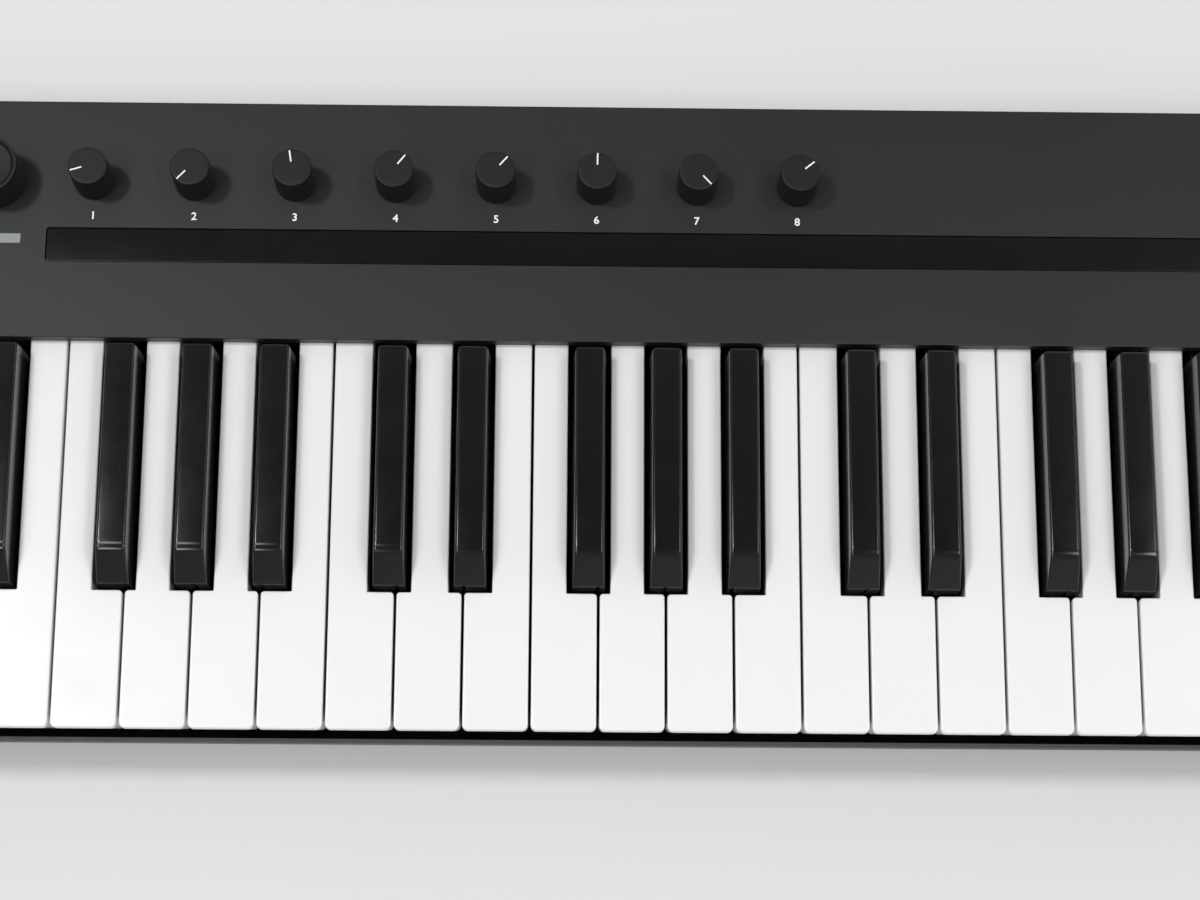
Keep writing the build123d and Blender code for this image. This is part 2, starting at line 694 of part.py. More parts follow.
def make_key_frame():
    """The key frame: a plate on legs with a comb of ribs for the pivot rod and a shelf for the springs."""
    x0 = KEYS_LEFT + 0.6
    x1 = KEYS_RIGHT - 0.6
    plate_top = KEY_TOP - 35.0
    with BuildPart() as frame:
        block(x0, x1, KEYS_FRONT + 12, HEEL_Y + 6.5, plate_top - 3, plate_top)
        for y in (KEYS_FRONT + 14, PIVOT_Y - 30, HEEL_Y + 4):
            block(x0, x1, y - 1.5, y + 1.5, FLOOR_TOP, plate_top)
        for x in rib_places():
            block(x - RIB_T / 2, x + RIB_T / 2, PIVOT_Y - 6, HEEL_Y - 0.5, plate_top, PIVOT_Z + 4.5)
        block(x0, x1, HEEL_Y + 2.5, HEEL_Y + 6.5, plate_top, HEEL_TOP + 0.7)
        for y in (CONTACT_BOARD_Y0 + 2, CONTACT_BOARD_Y1 - 2):
            block(x0 + 2, x1 - 2, y - 1, y + 1, plate_top, CONTACT_BOARD_TOP - BOARD_T)
        bore_x(PIVOT_Y, PIVOT_Z, ROD_R, x0 - 1, x1 + 1)
    save(frame.part, "key_frame")


def make_rods():
    """The steel rod that all the keys turn on, the wheel axle, and the rocker pin."""
    with BuildPart() as rods:
        with BuildSketch(Plane.YZ.offset(KEYS_LEFT + 0.8)):
            with Locations((PIVOT_Y, PIVOT_Z)):
                Circle(ROD_R)
        extrude(amount=KEYS_RIGHT - KEYS_LEFT - 1.6)
        with BuildSketch(Plane.YZ.offset(WHEEL_XS[0] - 14)):
            with Locations((WHEEL_Y, WHEEL_Z)):
                Circle(AXLE_R)
        extrude(amount=WHEEL_XS[1] - WHEEL_XS[0] + 28)
        with BuildSketch(Plane.XZ.offset(-(ROCKER_Y + 5.5))):
            with Locations((ROCKER_X, ROCKER_PIN_Z)):
                Circle(ROCKER_PIN_R)
        extrude(amount=11.0)
    save(rods.part, "pivot_rods")


def make_spring_comb():
    """A stamped strip on the frame's rear shelf, with a finger that presses on each key's heel."""
    level = HEEL_TOP + 0.7
    with BuildPart() as comb:
        block(KEYS_LEFT + 1, KEYS_RIGHT - 1, HEEL_Y + 1.5, HEEL_Y + 6.5, level, level + 0.5)
        for key in key_list():
            x = key[4]
            block(x - 2, x + 2, PIVOT_Y + 3.8, HEEL_Y + 2, level, level + 0.5)
    save(comb.part, "key_spring_comb")


def make_boards():
    """The main board, the control board, the display module and the key contact board."""
    board_top = MAIN_BOARD_Z + BOARD_T
    middle = (MAIN_BOARD_Y0 + MAIN_BOARD_Y1) / 2
    with BuildPart() as boards:
        block(MAIN_BOARD_X0, MAIN_BOARD_X1, MAIN_BOARD_Y0, MAIN_BOARD_Y1, MAIN_BOARD_Z, board_top)
        for x, side, height in ((-150, 14, 2), (-90, 10, 1.6), (-30, 22, 6)):
            half = side / 2
            block(x - half, x + half, middle - half, middle + half, MAIN_BOARD_Z, board_top + height)
        block(
            ENCODER_X - 12,
            knob_x(KNOB_COUNT - 1) + 12,
            KNOB_Y - 10,
            KNOB_Y + 10,
            CONTROL_BOARD_TOP - BOARD_T,
            CONTROL_BOARD_TOP,
        )
        block(
            WINDOW_X0 + 1,
            WINDOW_X1 - 1,
            WINDOW_Y0 + 0.5,
            WINDOW_Y1 - 0.5,
            PANEL_TOP - WINDOW_SINK - WINDOW_T - 3.0,
            PANEL_TOP - WINDOW_SINK - WINDOW_T,
        )
        under = CONTACT_BOARD_TOP - BOARD_T
        block(KEYS_LEFT + 2, KEYS_RIGHT - 2, CONTACT_BOARD_Y0, CONTACT_BOARD_Y1, under, CONTACT_BOARD_TOP)
        for key in key_list():
            x = key[4]
            y = (CONTACT_BOARD_Y0 + CONTACT_BOARD_Y1) / 2
            block(x - 2.5, x + 2.5, y - 5, y + 5, under, CONTACT_BOARD_TOP + 4.0)
    save(boards.part, "circuit_boards")


def make_feet():
    """Six round rubber feet under the case."""
    with BuildPart() as feet:
        with BuildSketch():
            for x in FOOT_XS:
                for y in FOOT_YS:
                    with Locations((x, y)):
                        Circle(FOOT_R)
        extrude(amount=FOOT_H)
        soles = feet.faces().filter_by(Plane.XY).group_by(Axis.Z)[0]
        fillet(soles.edges(), FOOT_EDGE_R)
    save(feet.part, "rubber_feet")


def make_screws():
    """Ten case screws, with cross-slotted heads sunk into the bosses under the case."""
    with BuildPart() as screws:
        with BuildSketch(Plane.XY.offset(FOOT_H + SCREW_SINK)):
            for x in SCREW_XS:
                for y in SCREW_YS:
                    with Locations((x, y)):
                        Circle(SCREW_HEAD_R)
        extrude(amount=SCREW_HEAD_H)
        with BuildSketch(Plane.XY.offset(FOOT_H + SCREW_SINK)):
            for x in SCREW_XS:
                for y in SCREW_YS:
                    with Locations((x, y)):
                        Circle(SCREW_R)
        extrude(amount=SCREW_L)
        with BuildSketch(Plane.XY.offset(FOOT_H + SCREW_SINK)):
            for x in SCREW_XS:
                for y in SCREW_YS:
                    with Locations((x, y)):
                        Rectangle(CROSS_L, CROSS_W)
                        Rectangle(CROSS_W, CROSS_L)
        extrude(amount=SCREW_HEAD_H / 2, mode=Mode.SUBTRACT)
    save(screws.part, "case_screws")


def main():
    os.makedirs(PARTS, exist_ok=True)
    make_keys()
    make_knobs()
    make_potentiometers()
    for name, x in zip(("pitch_wheel", "mod_wheel"), WHEEL_XS):
        make_wheel(name, x)
    make_rocker()
    make_panel()
    make_window()
    make_case()
    make_sockets()
    make_key_frame()
    make_rods()
    make_spring_comb()
    make_boards()
    make_feet()
    make_screws()


main()
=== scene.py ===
# %% [markdown]
# # A MIDI keyboard, finished around its CAD frame
# The keyboard is a flat case with a sprung row of piano keys, a painted metal panel with eight knobs and
# an encoder, a long dark display strip, and two wheels and a rocker at the left. The CAD model holds
# every size and every joint. This lesson loads it first and then gives each part its visible shape and
# its finish. Everything is in metres: +X runs to the player's right, +Y to the rear, and +Z up from the
# feet's soles.

# %% Load the frame
import json
import math

import bmesh
import bpy
from mathutils import Matrix, Vector


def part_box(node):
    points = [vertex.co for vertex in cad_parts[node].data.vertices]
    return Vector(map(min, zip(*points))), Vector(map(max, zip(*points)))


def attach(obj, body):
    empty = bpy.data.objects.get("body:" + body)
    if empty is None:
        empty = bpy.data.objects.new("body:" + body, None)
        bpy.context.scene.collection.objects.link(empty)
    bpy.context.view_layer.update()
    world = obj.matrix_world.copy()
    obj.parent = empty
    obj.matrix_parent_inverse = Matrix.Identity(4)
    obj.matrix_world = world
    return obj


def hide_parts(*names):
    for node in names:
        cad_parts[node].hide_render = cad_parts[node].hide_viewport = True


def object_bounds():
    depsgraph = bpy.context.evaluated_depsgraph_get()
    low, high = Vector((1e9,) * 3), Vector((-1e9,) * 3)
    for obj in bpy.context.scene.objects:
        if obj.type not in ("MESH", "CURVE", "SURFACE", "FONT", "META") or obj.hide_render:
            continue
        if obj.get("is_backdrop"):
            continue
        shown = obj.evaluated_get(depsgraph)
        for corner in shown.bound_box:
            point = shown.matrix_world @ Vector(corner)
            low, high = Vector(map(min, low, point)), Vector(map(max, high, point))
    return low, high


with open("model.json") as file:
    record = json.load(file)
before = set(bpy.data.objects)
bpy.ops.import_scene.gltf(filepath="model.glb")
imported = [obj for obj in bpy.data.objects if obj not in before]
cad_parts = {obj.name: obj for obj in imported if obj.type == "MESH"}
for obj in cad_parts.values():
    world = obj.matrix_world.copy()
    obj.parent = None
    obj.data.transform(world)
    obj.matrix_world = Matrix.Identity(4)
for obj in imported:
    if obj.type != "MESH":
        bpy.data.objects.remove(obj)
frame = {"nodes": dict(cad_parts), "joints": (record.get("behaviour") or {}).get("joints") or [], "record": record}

cad_low, cad_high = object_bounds()
nodes = frame["nodes"]
joints = {joint["name"]: joint for joint in frame["joints"]}
MM = 0.001
print("CAD box in mm:", [round(v / MM, 1) for v in (*cad_low, *cad_high)])

# %% [markdown]
# ## The places that everything else is worked out from
# A white key's box gives the level of the keys and the line of their fronts. The panel's box gives the
# level that the knobs stand on. A key's joint gives the line of the steel rod that all the keys turn on.

# %% Read the main levels
def middle_of(name):
    """The middle of a CAD node's box."""
    low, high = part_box(name)
    return (low + high) / 2


def from_the_left(prefix):
    """The CAD nodes whose names start with the prefix, sorted from the left."""
    return sorted((n for n in nodes if n.startswith(prefix)), key=lambda n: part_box(n)[0].x)


first_low, first_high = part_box("white_key_c3")
last_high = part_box("white_key_c6")[1]
KEY_TOP = first_high.z
KEYS_FRONT = first_low.y
HEEL_Y = first_high.y
PANEL_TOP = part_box("top_panel")[1].z
REAR = cad_high.y
PIVOT = Vector(joints["white_c3_press"]["pos_m"])
mounts = {mount["name"]: Vector(mount["pos_m"]) for mount in frame["record"]["mounts"]}
white_names = from_the_left("white_key")
black_names = from_the_left("black_key")
knob_names = [f"knob_{i}" for i in range(1, 9)]
print(len(white_names), "white and", len(black_names), "black keys, tops at", round(KEY_TOP / MM, 1), "mm")

# %% [markdown]
# ## Meshes from outlines
# Most moulded parts are an outline carried through a few levels. An outline here is a short list of
# corners, each with its own radius, and the arcs are worked out. Moving an outline inwards along its
# mitres gives the next ring of a rounded edge. Equal rings are then joined by a skin of four-sided faces,
# which is the same thing as a loft, and gives tidy highlights because the faces follow the edge.

# %% Outlines
ARC_STEPS = 6


def rounded_outline(corners, steps=ARC_STEPS):
    """A closed outline through corners given as (x, y, radius), with an arc at each corner that has one."""
    points = []
    for i, (x, y, radius) in enumerate(corners):
        here = Vector((x, y))
        if radius == 0:
            points.append(here)
            continue
        before = (Vector(corners[i - 1][:2]) - here).normalized()
        after = (Vector(corners[(i + 1) % len(corners)][:2]) - here).normalized()
        half = before.angle(after) / 2
        centre = here + (before + after).normalized() * radius / math.sin(half)
        start = here + before * radius / math.tan(half) - centre
        end = here + after * radius / math.tan(half) - centre
        turn = math.atan2(start.x * end.y - start.y * end.x, start.dot(end))
        points += [centre + Matrix.Rotation(turn * k / steps, 2) @ start for k in range(steps + 1)]
    return points


def inset(outline, distance):
    """An anticlockwise outline moved inwards, each point along the mitre of its two edges."""
    moved = []
    for i, here in enumerate(outline):
        arriving = (here - outline[i - 1]).normalized()
        leaving = (outline[(i + 1) % len(outline)] - here).normalized()
        inward = Vector((-arriving.y - leaving.y, arriving.x + leaving.x)).normalized()
        moved.append(here + inward * distance / inward.dot(Vector((-arriving.y, arriving.x))))
    return moved


def level(outline, z):
    return [Vector((p.x, p.y, z)) for p in outline]


def quarter_round(edge):
    """Steps over a rounded edge: how far in from the side, and how far down from the top."""
    turns = [math.radians(90 * k / ARC_STEPS) for k in range(ARC_STEPS + 1)]
    return [(edge * (1 - math.cos(turn)), edge * (1 - math.sin(turn))) for turn in turns]


def circle(count):
    """Cosine and sine at equal steps round a full turn."""
    turns = [2 * math.pi * k / count for k in range(count)]
    return [(math.cos(turn), math.sin(turn)) for turn in turns]


print("steps over a rounded edge:", len(quarter_round(MM)))

# %% Skins
MERGE = 1e-6
# a narrow flat band beside a rounding keeps the highlight in place
SUPPORT = 0.06 * MM
SHARP = math.radians(32)


def tidy(mesh):
    """Merges doubles, points the faces outwards, and shades smooth except across sharp edges."""
    work = bmesh.new()
    work.from_mesh(mesh)
    bmesh.ops.remove_doubles(work, verts=work.verts, dist=MERGE)
    bmesh.ops.dissolve_degenerate(work, edges=work.edges, dist=MERGE)
    bmesh.ops.recalc_face_normals(work, faces=work.faces)
    work.to_mesh(mesh)
    work.free()
    mesh.shade_smooth()
    mesh.set_sharp_from_angle(angle=SHARP)
    mesh.update()


def piece_of(name, mesh):
    """A new object at the origin that shows a mesh."""
    tidy(mesh)
    piece = bpy.data.objects.new(name, mesh)
    bpy.context.scene.collection.objects.link(piece)
    return piece


def skin(name, rings, caps=True):
    """A closed skin over a stack of equal rings, with a flat cap at each end unless the ends are poles."""
    count = len(rings[0])
    faces = []
    for r in range(len(rings) - 1):
        for i in range(count):
            j = (i + 1) % count
            faces.append((r * count + i, r * count + j, (r + 1) * count + j, (r + 1) * count + i))
    if caps:
        faces.append(tuple(range(count)))
        faces.append(tuple(range((len(rings) - 1) * count, len(rings) * count)))
    mesh = bpy.data.meshes.new(name)
    mesh.from_pydata([p for ring in rings for p in ring], [], faces)
    return piece_of(name, mesh)


def slab(name, outline, bottom, top, edge):
    """A flat plate with its upper edge rounded, and a narrow flat band inside the rounding."""
    rings = [level(outline, bottom)]
    rings += [level(inset(outline, across), top - down) for across, down in quarter_round(edge)]
    rings.append(level(inset(outline, edge + min(SUPPORT, edge)), top))
    return skin(name, rings)


def turned(name, corners, x, y, steps=96):
    """A half section, given as (radius, height, rounding), spun about a vertical axis."""
    rings = []
    for p in rounded_outline(corners):
        rings.append([Vector((x + p.x * c, y + p.x * s, p.y)) for c, s in circle(steps)])
    return skin(name, rings, caps=False)


print("faces shade smooth up to", round(math.degrees(SHARP)), "degrees")

# %% Joining, cutting and carrying pieces
def joined(name, parts):
    """Several pieces made into one, with their materials kept."""
    work = bmesh.new()
    materials = []
    for part in parts:
        start = len(work.faces)
        work.from_mesh(part.data)
        work.faces.ensure_lookup_table()
        for material in part.data.materials:
            if material not in materials:
                materials.append(material)
        for face in work.faces[start:]:
            if part.data.materials:
                face.material_index = materials.index(part.data.materials[face.material_index])
    mesh = bpy.data.meshes.new(name)
    for material in materials:
        mesh.materials.append(material)
    work.to_mesh(mesh)
    work.free()
    for part in parts:
        bpy.data.objects.remove(part)
    return piece_of(name, mesh)


def settled(piece):
    """The piece with its modifiers' result as its own plain mesh."""
    graph = bpy.context.evaluated_depsgraph_get()
    mesh = bpy.data.meshes.new_from_object(piece.evaluated_get(graph))
    piece.modifiers.clear()
    piece.data = mesh
    tidy(mesh)
    return piece


def combined(piece, other, operation):
    """The piece after a boolean with another closed piece."""
    boolean = piece.modifiers.new("cut", "BOOLEAN")
    boolean.object = other
    boolean.operation = operation
    boolean.solver = "EXACT"
    return settled(piece)


FLAT = math.radians(0.2)
BEVEL_FROM = math.radians(40)


def refined_copy(node, bevel=0.0):
    """A merged copy of a CAD node, smooth across its fillets, with its remaining sharp edges broken when a bevel
    is given.
    """
    piece = piece_of(node + "_finish", nodes[node].data.copy())
    work = bmesh.new()
    work.from_mesh(piece.data)
    bmesh.ops.dissolve_limit(work, angle_limit=FLAT, verts=work.verts, edges=work.edges)
    work.to_mesh(piece.data)
    work.free()
    if bevel:
        edges = piece.modifiers.new("edges", "BEVEL")
        edges.width = bevel
        edges.segments = 2
        edges.limit_method = "ANGLE"
        edges.angle_limit = BEVEL_FROM
        edges.harden_normals = False
    return settled(piece)


finishes = {}


def dressed(piece, finish):
    """The piece with one finish all over."""
    piece.data.materials.clear()
    piece.data.materials.append(finishes[finish])
    return piece


def hand_over(piece, body, material_slot, *stands_for):
    """Rides the piece on its body, and hides the CAD nodes that it replaces. The material_slot argument is not
    used.
    """
    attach(piece, body)
    if stands_for:
        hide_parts(*stands_for)
    return piece


print("mesh helpers ready")

# %% [markdown]
# ## Node graphs as expressions
# A shader or a Geometry Nodes tree is easier to read as arithmetic than as a list of links. `Wire` wraps
# one socket, and adding or multiplying wires adds Math nodes. `Graph.node` adds any other node: its
# settings come first, because they can change which sockets exist, and then its socket values or links.

# %% Wires and graphs
class Wire:
    """One output socket, with arithmetic."""

    def __init__(self, graph, socket):
        self.graph = graph
        self.socket = socket

    def math(self, operation, *others):
        values = dict(enumerate((self, *others)))
        return self.graph.node("ShaderNodeMath", {"operation": operation}, values)

    def __add__(self, other):
        return self.math("ADD", other)

    def __mul__(self, other):
        return self.math("MULTIPLY", other)

    def __sub__(self, other):
        return self.math("SUBTRACT", other)

    def __rsub__(self, other):
        return self.math("MULTIPLY", -1.0).math("ADD", other)

    def __gt__(self, other):
        return self.math("GREATER_THAN", other)

    def __lt__(self, other):
        return self.math("LESS_THAN", other)

    __radd__ = __add__
    __rmul__ = __mul__


def pick(sockets, key):
    """A socket by its number, its identifier or its name."""
    if isinstance(key, int):
        return sockets[key]
    return next((s for s in sockets if s.identifier == key), None) or sockets[key]


class Graph:
    """A node tree and the one way that nodes are added to it."""

    def __init__(self, tree):
        self.tree = tree

    def feed(self, socket, value):
        if isinstance(value, Wire):
            self.tree.links.new(value.socket, socket)
        else:
            socket.default_value = value

    def node(self, kind, settings=None, inputs=None, output=0):
        node = self.tree.nodes.new(kind)
        for key, value in (settings or {}).items():
            setattr(node, key, value)
        for key, value in (inputs or {}).items():
            self.feed(pick(node.inputs, key), value)
        return Wire(self, pick(node.outputs, output))

    def along(self, axis, vector):
        """One coordinate of a vector, as a number."""
        return self.node("ShaderNodeSeparateXYZ", inputs={"Vector": vector}, output=axis)


print("a wire can add, subtract, multiply and compare")

# %% [markdown]
# ## A finish is a shader with a few habits
# Every finish below starts from one colour and one roughness, and then lets both drift a little over the
# surface, because a moulded or painted part is never perfectly even. Fine grain goes into the normal
# through a Bump node. Patterns read Object coordinates, which are the row's own metres here, so a scale
# of 1000 gives features about a millimetre across.

# %% The finish class
class Finish(Graph):
    """A material with its Principled shader and the patterns that most finishes share."""

    def __init__(self, name, colour, roughness, constants=None):
        self.name = name
        self.material = bpy.data.materials.new(name)
        self.material.use_nodes = True
        super().__init__(self.material.node_tree)
        self.shader = self.tree.nodes["Principled BSDF"]
        self.colour = (*colour, 1)
        self.shader.inputs["Base Color"].default_value = self.colour
        self.shader.inputs["Roughness"].default_value = roughness
        for key, value in (constants or {}).items():
            self.shader.inputs[key].default_value = value
        self.place = self.node("ShaderNodeTexCoord", output="Object")

    def stretched(self, x, y, z):
        """Object coordinates scaled along each axis, for a pattern that is drawn out."""
        return self.node("ShaderNodeMapping", inputs={"Vector": self.place, "Scale": (x, y, z)})

    def noise(self, scale, detail=2.0, vector=None, roughness=0.5):
        values = {"Vector": vector or self.place, "Scale": scale, "Detail": detail, "Roughness": roughness}
        return self.node("ShaderNodeTexNoise", inputs=values)

    def mix(self, factor, first, second):
        """A colour between two others."""
        values = {"Factor_Float": factor, "A_Color": first, "B_Color": second}
        return self.node("ShaderNodeMix", {"data_type": "RGBA"}, values, "Result_Color")

    def shade(self, amount, pattern):
        """Base colour that darkens and lightens by a share of itself as the pattern runs from 0 to 1."""
        darker = tuple(c * (1 - amount) for c in self.colour[:3]) + (1,)
        lighter = tuple(min(c * (1 + amount), 1) for c in self.colour[:3]) + (1,)
        return self.mix(pattern, darker, lighter)

    def set(self, **wires):
        """Feeds the shader's sockets, and files the finish under its name."""
        for key, wire in wires.items():
            self.feed(self.shader.inputs[key.replace("_", " ").title()], wire)
        finishes[self.name] = self.material
        print(self.name, "nodes:", len(self.tree.nodes))

    def bump(self, height, distance, strength=1.0):
        values = {"Height": height, "Distance": distance, "Strength": strength}
        return self.node("ShaderNodeBump", inputs=values, output="Normal")


print("patterns are in metres, so a scale of 1000 gives features of about 1 mm")

# %% [markdown]
# ## White key plastic
# The white keys are a hard acrylic-like moulding: bright, slightly cool and glossy. Up close the gloss is
# not a mirror. The moulding has a faint long waviness, and fingers leave soft patches that scatter light
# a little more.

# %% White key plastic
def white_key_plastic():
    finish = Finish("white_key_plastic", (0.775, 0.777, 0.775), 0.2, {"IOR": 1.49})
    drift = finish.noise(9.0)
    touched = finish.noise(55.0, 4.0, roughness=0.62)
    grain = finish.noise(2600.0)
    waves = finish.noise(150.0, 1.0, finish.stretched(1.0, 0.25, 1.0))
    finish.set(
        base_color=finish.shade(0.012, drift),
        roughness=touched * 0.14 + 0.13,
        normal=finish.bump(grain * 0.25 + waves, 0.02 * MM, 0.35),
    )


white_key_plastic()

# %% [markdown]
# ## Black key plastic
# The sharps are polished on top, where they mirror the lamps, and show hair-fine marks that run along the
# key, as fingers slide off them. The marks come from noise drawn out along Y.

# %% Black key plastic
def black_key_plastic():
    finish = Finish("black_key_plastic", (0.0058, 0.006, 0.0062), 0.12, {"IOR": 1.5})
    hairs = finish.noise(1.0, 3.0, finish.stretched(5200.0, 240.0, 5200.0), 0.7)
    touched = finish.noise(70.0, 3.0, roughness=0.6)
    waves = finish.noise(120.0, 1.0)
    finish.set(
        base_color=finish.shade(0.12, touched),
        roughness=touched * 0.12 + hairs * 0.08 + 0.05,
        normal=finish.bump(waves + hairs * 0.15, 0.02 * MM, 0.5),
    )


black_key_plastic()

# %% [markdown]
# ## Panel paint
# The top panel is sheet metal under a satin powder paint. Powder paint sets with a very fine pebbled
# skin, and it scatters the lamps into a wide soft glow. Two sizes of noise make the pebbles and a slow
# drift in sheen.

# %% Panel paint
def panel_paint():
    finish = Finish("panel_metal", (0.0076, 0.0079, 0.0081), 0.46, {"IOR": 1.5, "Specular IOR Level": 0.42})
    pebbles = finish.noise(2300.0)
    fine = finish.noise(6500.0, 1.0)
    drift = finish.noise(14.0, 3.0, roughness=0.6)
    finish.set(
        base_color=finish.shade(0.05, drift * 0.7 + pebbles * 0.3),
        roughness=drift * 0.1 + pebbles * 0.06 + 0.38,
        normal=finish.bump(pebbles + fine * 0.4, 0.03 * MM, 0.6),
    )


panel_paint()

# %% [markdown]
# ## Knob and wheel plastic
# Knobs, encoder, wheels and rocker are a near-black plastic with a soft-touch coat. The coat hides
# reflections and shows a velvet grain. The caps' tops are touched often and are a little smoother.
# Everything below the rims of the caps is rougher, so the roughness steps up at that level.

# %% Knob and wheel plastic
CAP_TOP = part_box(knob_names[0])[1].z
RIM_BAND = 0.9 * MM


def knob_plastic():
    finish = Finish("knob_plastic", (0.0035, 0.0036, 0.0038), 0.5, {"IOR": 1.5, "Specular IOR Level": 0.3})
    grain = finish.noise(4200.0)
    worn = finish.noise(160.0, 3.0, roughness=0.6)
    flank = finish.along("Z", finish.place) < CAP_TOP - RIM_BAND
    finish.set(
        base_color=finish.shade(0.1, worn),
        roughness=grain * 0.1 + worn * 0.16 + flank * 0.5 + 0.36,
        normal=finish.bump(grain, 0.02 * MM, 0.7),
    )


knob_plastic()

# %% [markdown]
# ## Case plastic
# The bottom case is an injection moulding with an etched texture: small flat-topped grains side by side.
# Voronoi cells give the grain, and noise breaks up their evenness.

# %% Case plastic
def case_plastic():
    finish = Finish("case_plastic", (0.062, 0.0625, 0.064), 0.55, {"IOR": 1.46})
    grains = {"Vector": finish.place, "Scale": 1500.0}
    cells = finish.node("ShaderNodeTexVoronoi", {"feature": "SMOOTH_F1"}, grains)
    drift = finish.noise(22.0, 3.0)
    fine = finish.noise(5200.0, 1.0)
    finish.set(
        base_color=finish.shade(0.08, drift * 0.6 + cells * 0.4),
        roughness=cells * 0.12 + drift * 0.1 + 0.44,
        normal=finish.bump(cells + fine * 0.3, 0.05 * MM, 0.7),
    )


case_plastic()

# %% [markdown]
# ## Display glass
# The display window is tinted acrylic with the module right under it. It is the glossiest part of the
# panel. The only things that break its black are faint rows of character cells and a little dust.

# %% Display glass
def display_glass():
    finish = Finish("display_glass", (0.0035, 0.0038, 0.004), 0.1, {"IOR": 1.5})
    bricks = {"offset": 0.0, "squash": 1.0}
    sizes = {
        "Vector": finish.place,
        "Scale": 1.0,
        "Mortar Size": 0.35 * MM,
        "Brick Width": 5.4 * MM,
        "Row Height": 4.0 * MM,
    }
    cells = finish.node("ShaderNodeTexBrick", bricks, sizes, "Fac")
    dust = finish.noise(900.0, 4.0, roughness=0.8) > 0.72
    haze = finish.noise(40.0, 3.0)
    tinted = finish.mix(cells * 0.3, (0.0036, 0.0039, 0.0042, 1), (0.003, 0.0033, 0.0036, 1))
    finish.set(
        base_color=finish.mix(dust * 0.4, tinted, (0.009, 0.009, 0.009, 1)),
        roughness=haze * 0.1 + dust * 0.1 + 0.1,
        normal=finish.bump(finish.noise(60.0, 1.0), 0.02 * MM, 0.3),
    )


display_glass()

# %% [markdown]
# ## Printed ink
# The digits, the marker lines and the bar by the encoder are screen-printed ink, a few hundredths of a
# millimetre thick. Ink lies slightly uneven, so its edge and sheen are not perfect.

# %% Printed ink
def ink(name, colour):
    finish = Finish(name, colour, 0.5)
    mottle = finish.noise(1800.0, 3.0)
    finish.set(
        base_color=finish.shade(0.05, mottle),
        roughness=mottle * 0.2 + 0.38,
        normal=finish.bump(mottle, 0.01 * MM, 0.5),
    )


ink("white_ink", (0.8, 0.82, 0.82))
ink("grey_ink", (0.235, 0.25, 0.265))

# %% [markdown]
# ## Rubber, frame plastic and sockets
# These are the dull black parts underneath, inside and behind. Each has its own grain: rubber is powdery
# with fine pores, the glass-filled frame shows flow marks, and the sockets are a smooth hard nylon.

# %% Dull black parts
def dull_black(name, colour, roughness, grain_scale, flow):
    finish = Finish(name, colour, roughness)
    grain = finish.noise(grain_scale, 3.0, roughness=0.65)
    flows = finish.noise(70.0, 3.0, finish.stretched(0.3, 1.0, 1.0), 0.6)
    finish.set(
        base_color=finish.shade(0.18, grain * (1 - flow) + flows * flow),
        roughness=grain * 0.14 + flows * 0.1 + (roughness - 0.12),
        normal=finish.bump(grain, 0.04 * MM, 0.6),
    )


dull_black("frame_plastic", (0.02, 0.02, 0.021), 0.55, 1400.0, 0.6)
dull_black("socket_plastic", (0.018, 0.018, 0.019), 0.42, 2600.0, 0.2)
dull_black("foot_rubber", (0.028, 0.028, 0.029), 0.85, 3400.0, 0.1)

# %% [markdown]
# ## Steel
# The rods are ground, so their fine lines run round them. The spring comb is rolled strip with lines
# along it, and the potentiometers' cans are drawn sheet. One function draws noise out along the chosen
# axis for all of them, and for the screws and the nickel-plated rings at the rear.

# %% Steel
def steel(name, colour, roughness, grain):
    finish = Finish(name, colour, roughness, {"Metallic": 1.0})
    lines = finish.noise(1.0, 4.0, finish.stretched(*grain), 0.7)
    stains = finish.noise(90.0, 4.0, roughness=0.6)
    finish.set(
        base_color=finish.shade(0.14, lines * 0.5 + stains * 0.5),
        roughness=lines * 0.2 + stains * 0.12 + (roughness - 0.16),
        normal=finish.bump(lines, 0.02 * MM, 0.6),
    )


steel("rod_steel", (0.56, 0.57, 0.58), 0.26, (6000.0, 90.0, 90.0))
steel("spring_steel", (0.5, 0.5, 0.51), 0.32, (60.0, 5000.0, 5000.0))
steel("pot_metal", (0.48, 0.48, 0.47), 0.36, (900.0, 900.0, 200.0))
steel("screw_steel", (0.06, 0.06, 0.062), 0.4, (2500.0, 2500.0, 2500.0))
steel("nickel_plate", (0.62, 0.61, 0.58), 0.24, (1500.0, 1500.0, 1500.0))

# %% [markdown]
# ## Solder mask
# The boards are green under a glossy lacquer. Copper traces show through as slightly lighter, raised
# lines that run square. Manhattan distances in a Voronoi texture give square-cornered lines.

# %% Solder mask
def solder_mask():
    finish = Finish("board", (0.012, 0.095, 0.035), 0.3)
    paths = {"feature": "F1", "distance": "MANHATTAN", "voronoi_dimensions": "2D"}
    distance = finish.node("ShaderNodeTexVoronoi", paths, {"Vector": finish.place, "Scale": 230.0})
    bands = (distance * 9.0).math("FRACT")
    trace = bands < 0.42
    weave = finish.noise(3000.0)
    board = finish.mix(trace, (0.009, 0.075, 0.028, 1), (0.02, 0.15, 0.055, 1))
    finish.set(
        base_color=board,
        roughness=weave * 0.15 + 0.22,
        normal=finish.bump(trace + weave * 0.2, 0.04 * MM, 0.8),
    )


solder_mask()
print("finishes so far:", len(finishes))

# %% [markdown]
# ## White keys
# A white key seen from above is a head as wide as the pitch allows and a narrower tail between the wells
# of its black neighbours. The front lip overhangs a thin skirt. One outline with its own corner radii
# describes it, and the rings below it and above it make the lip's recess and the rounded upper edge. The
# wells come from the black keys' boxes, so any note's key comes from the same function.

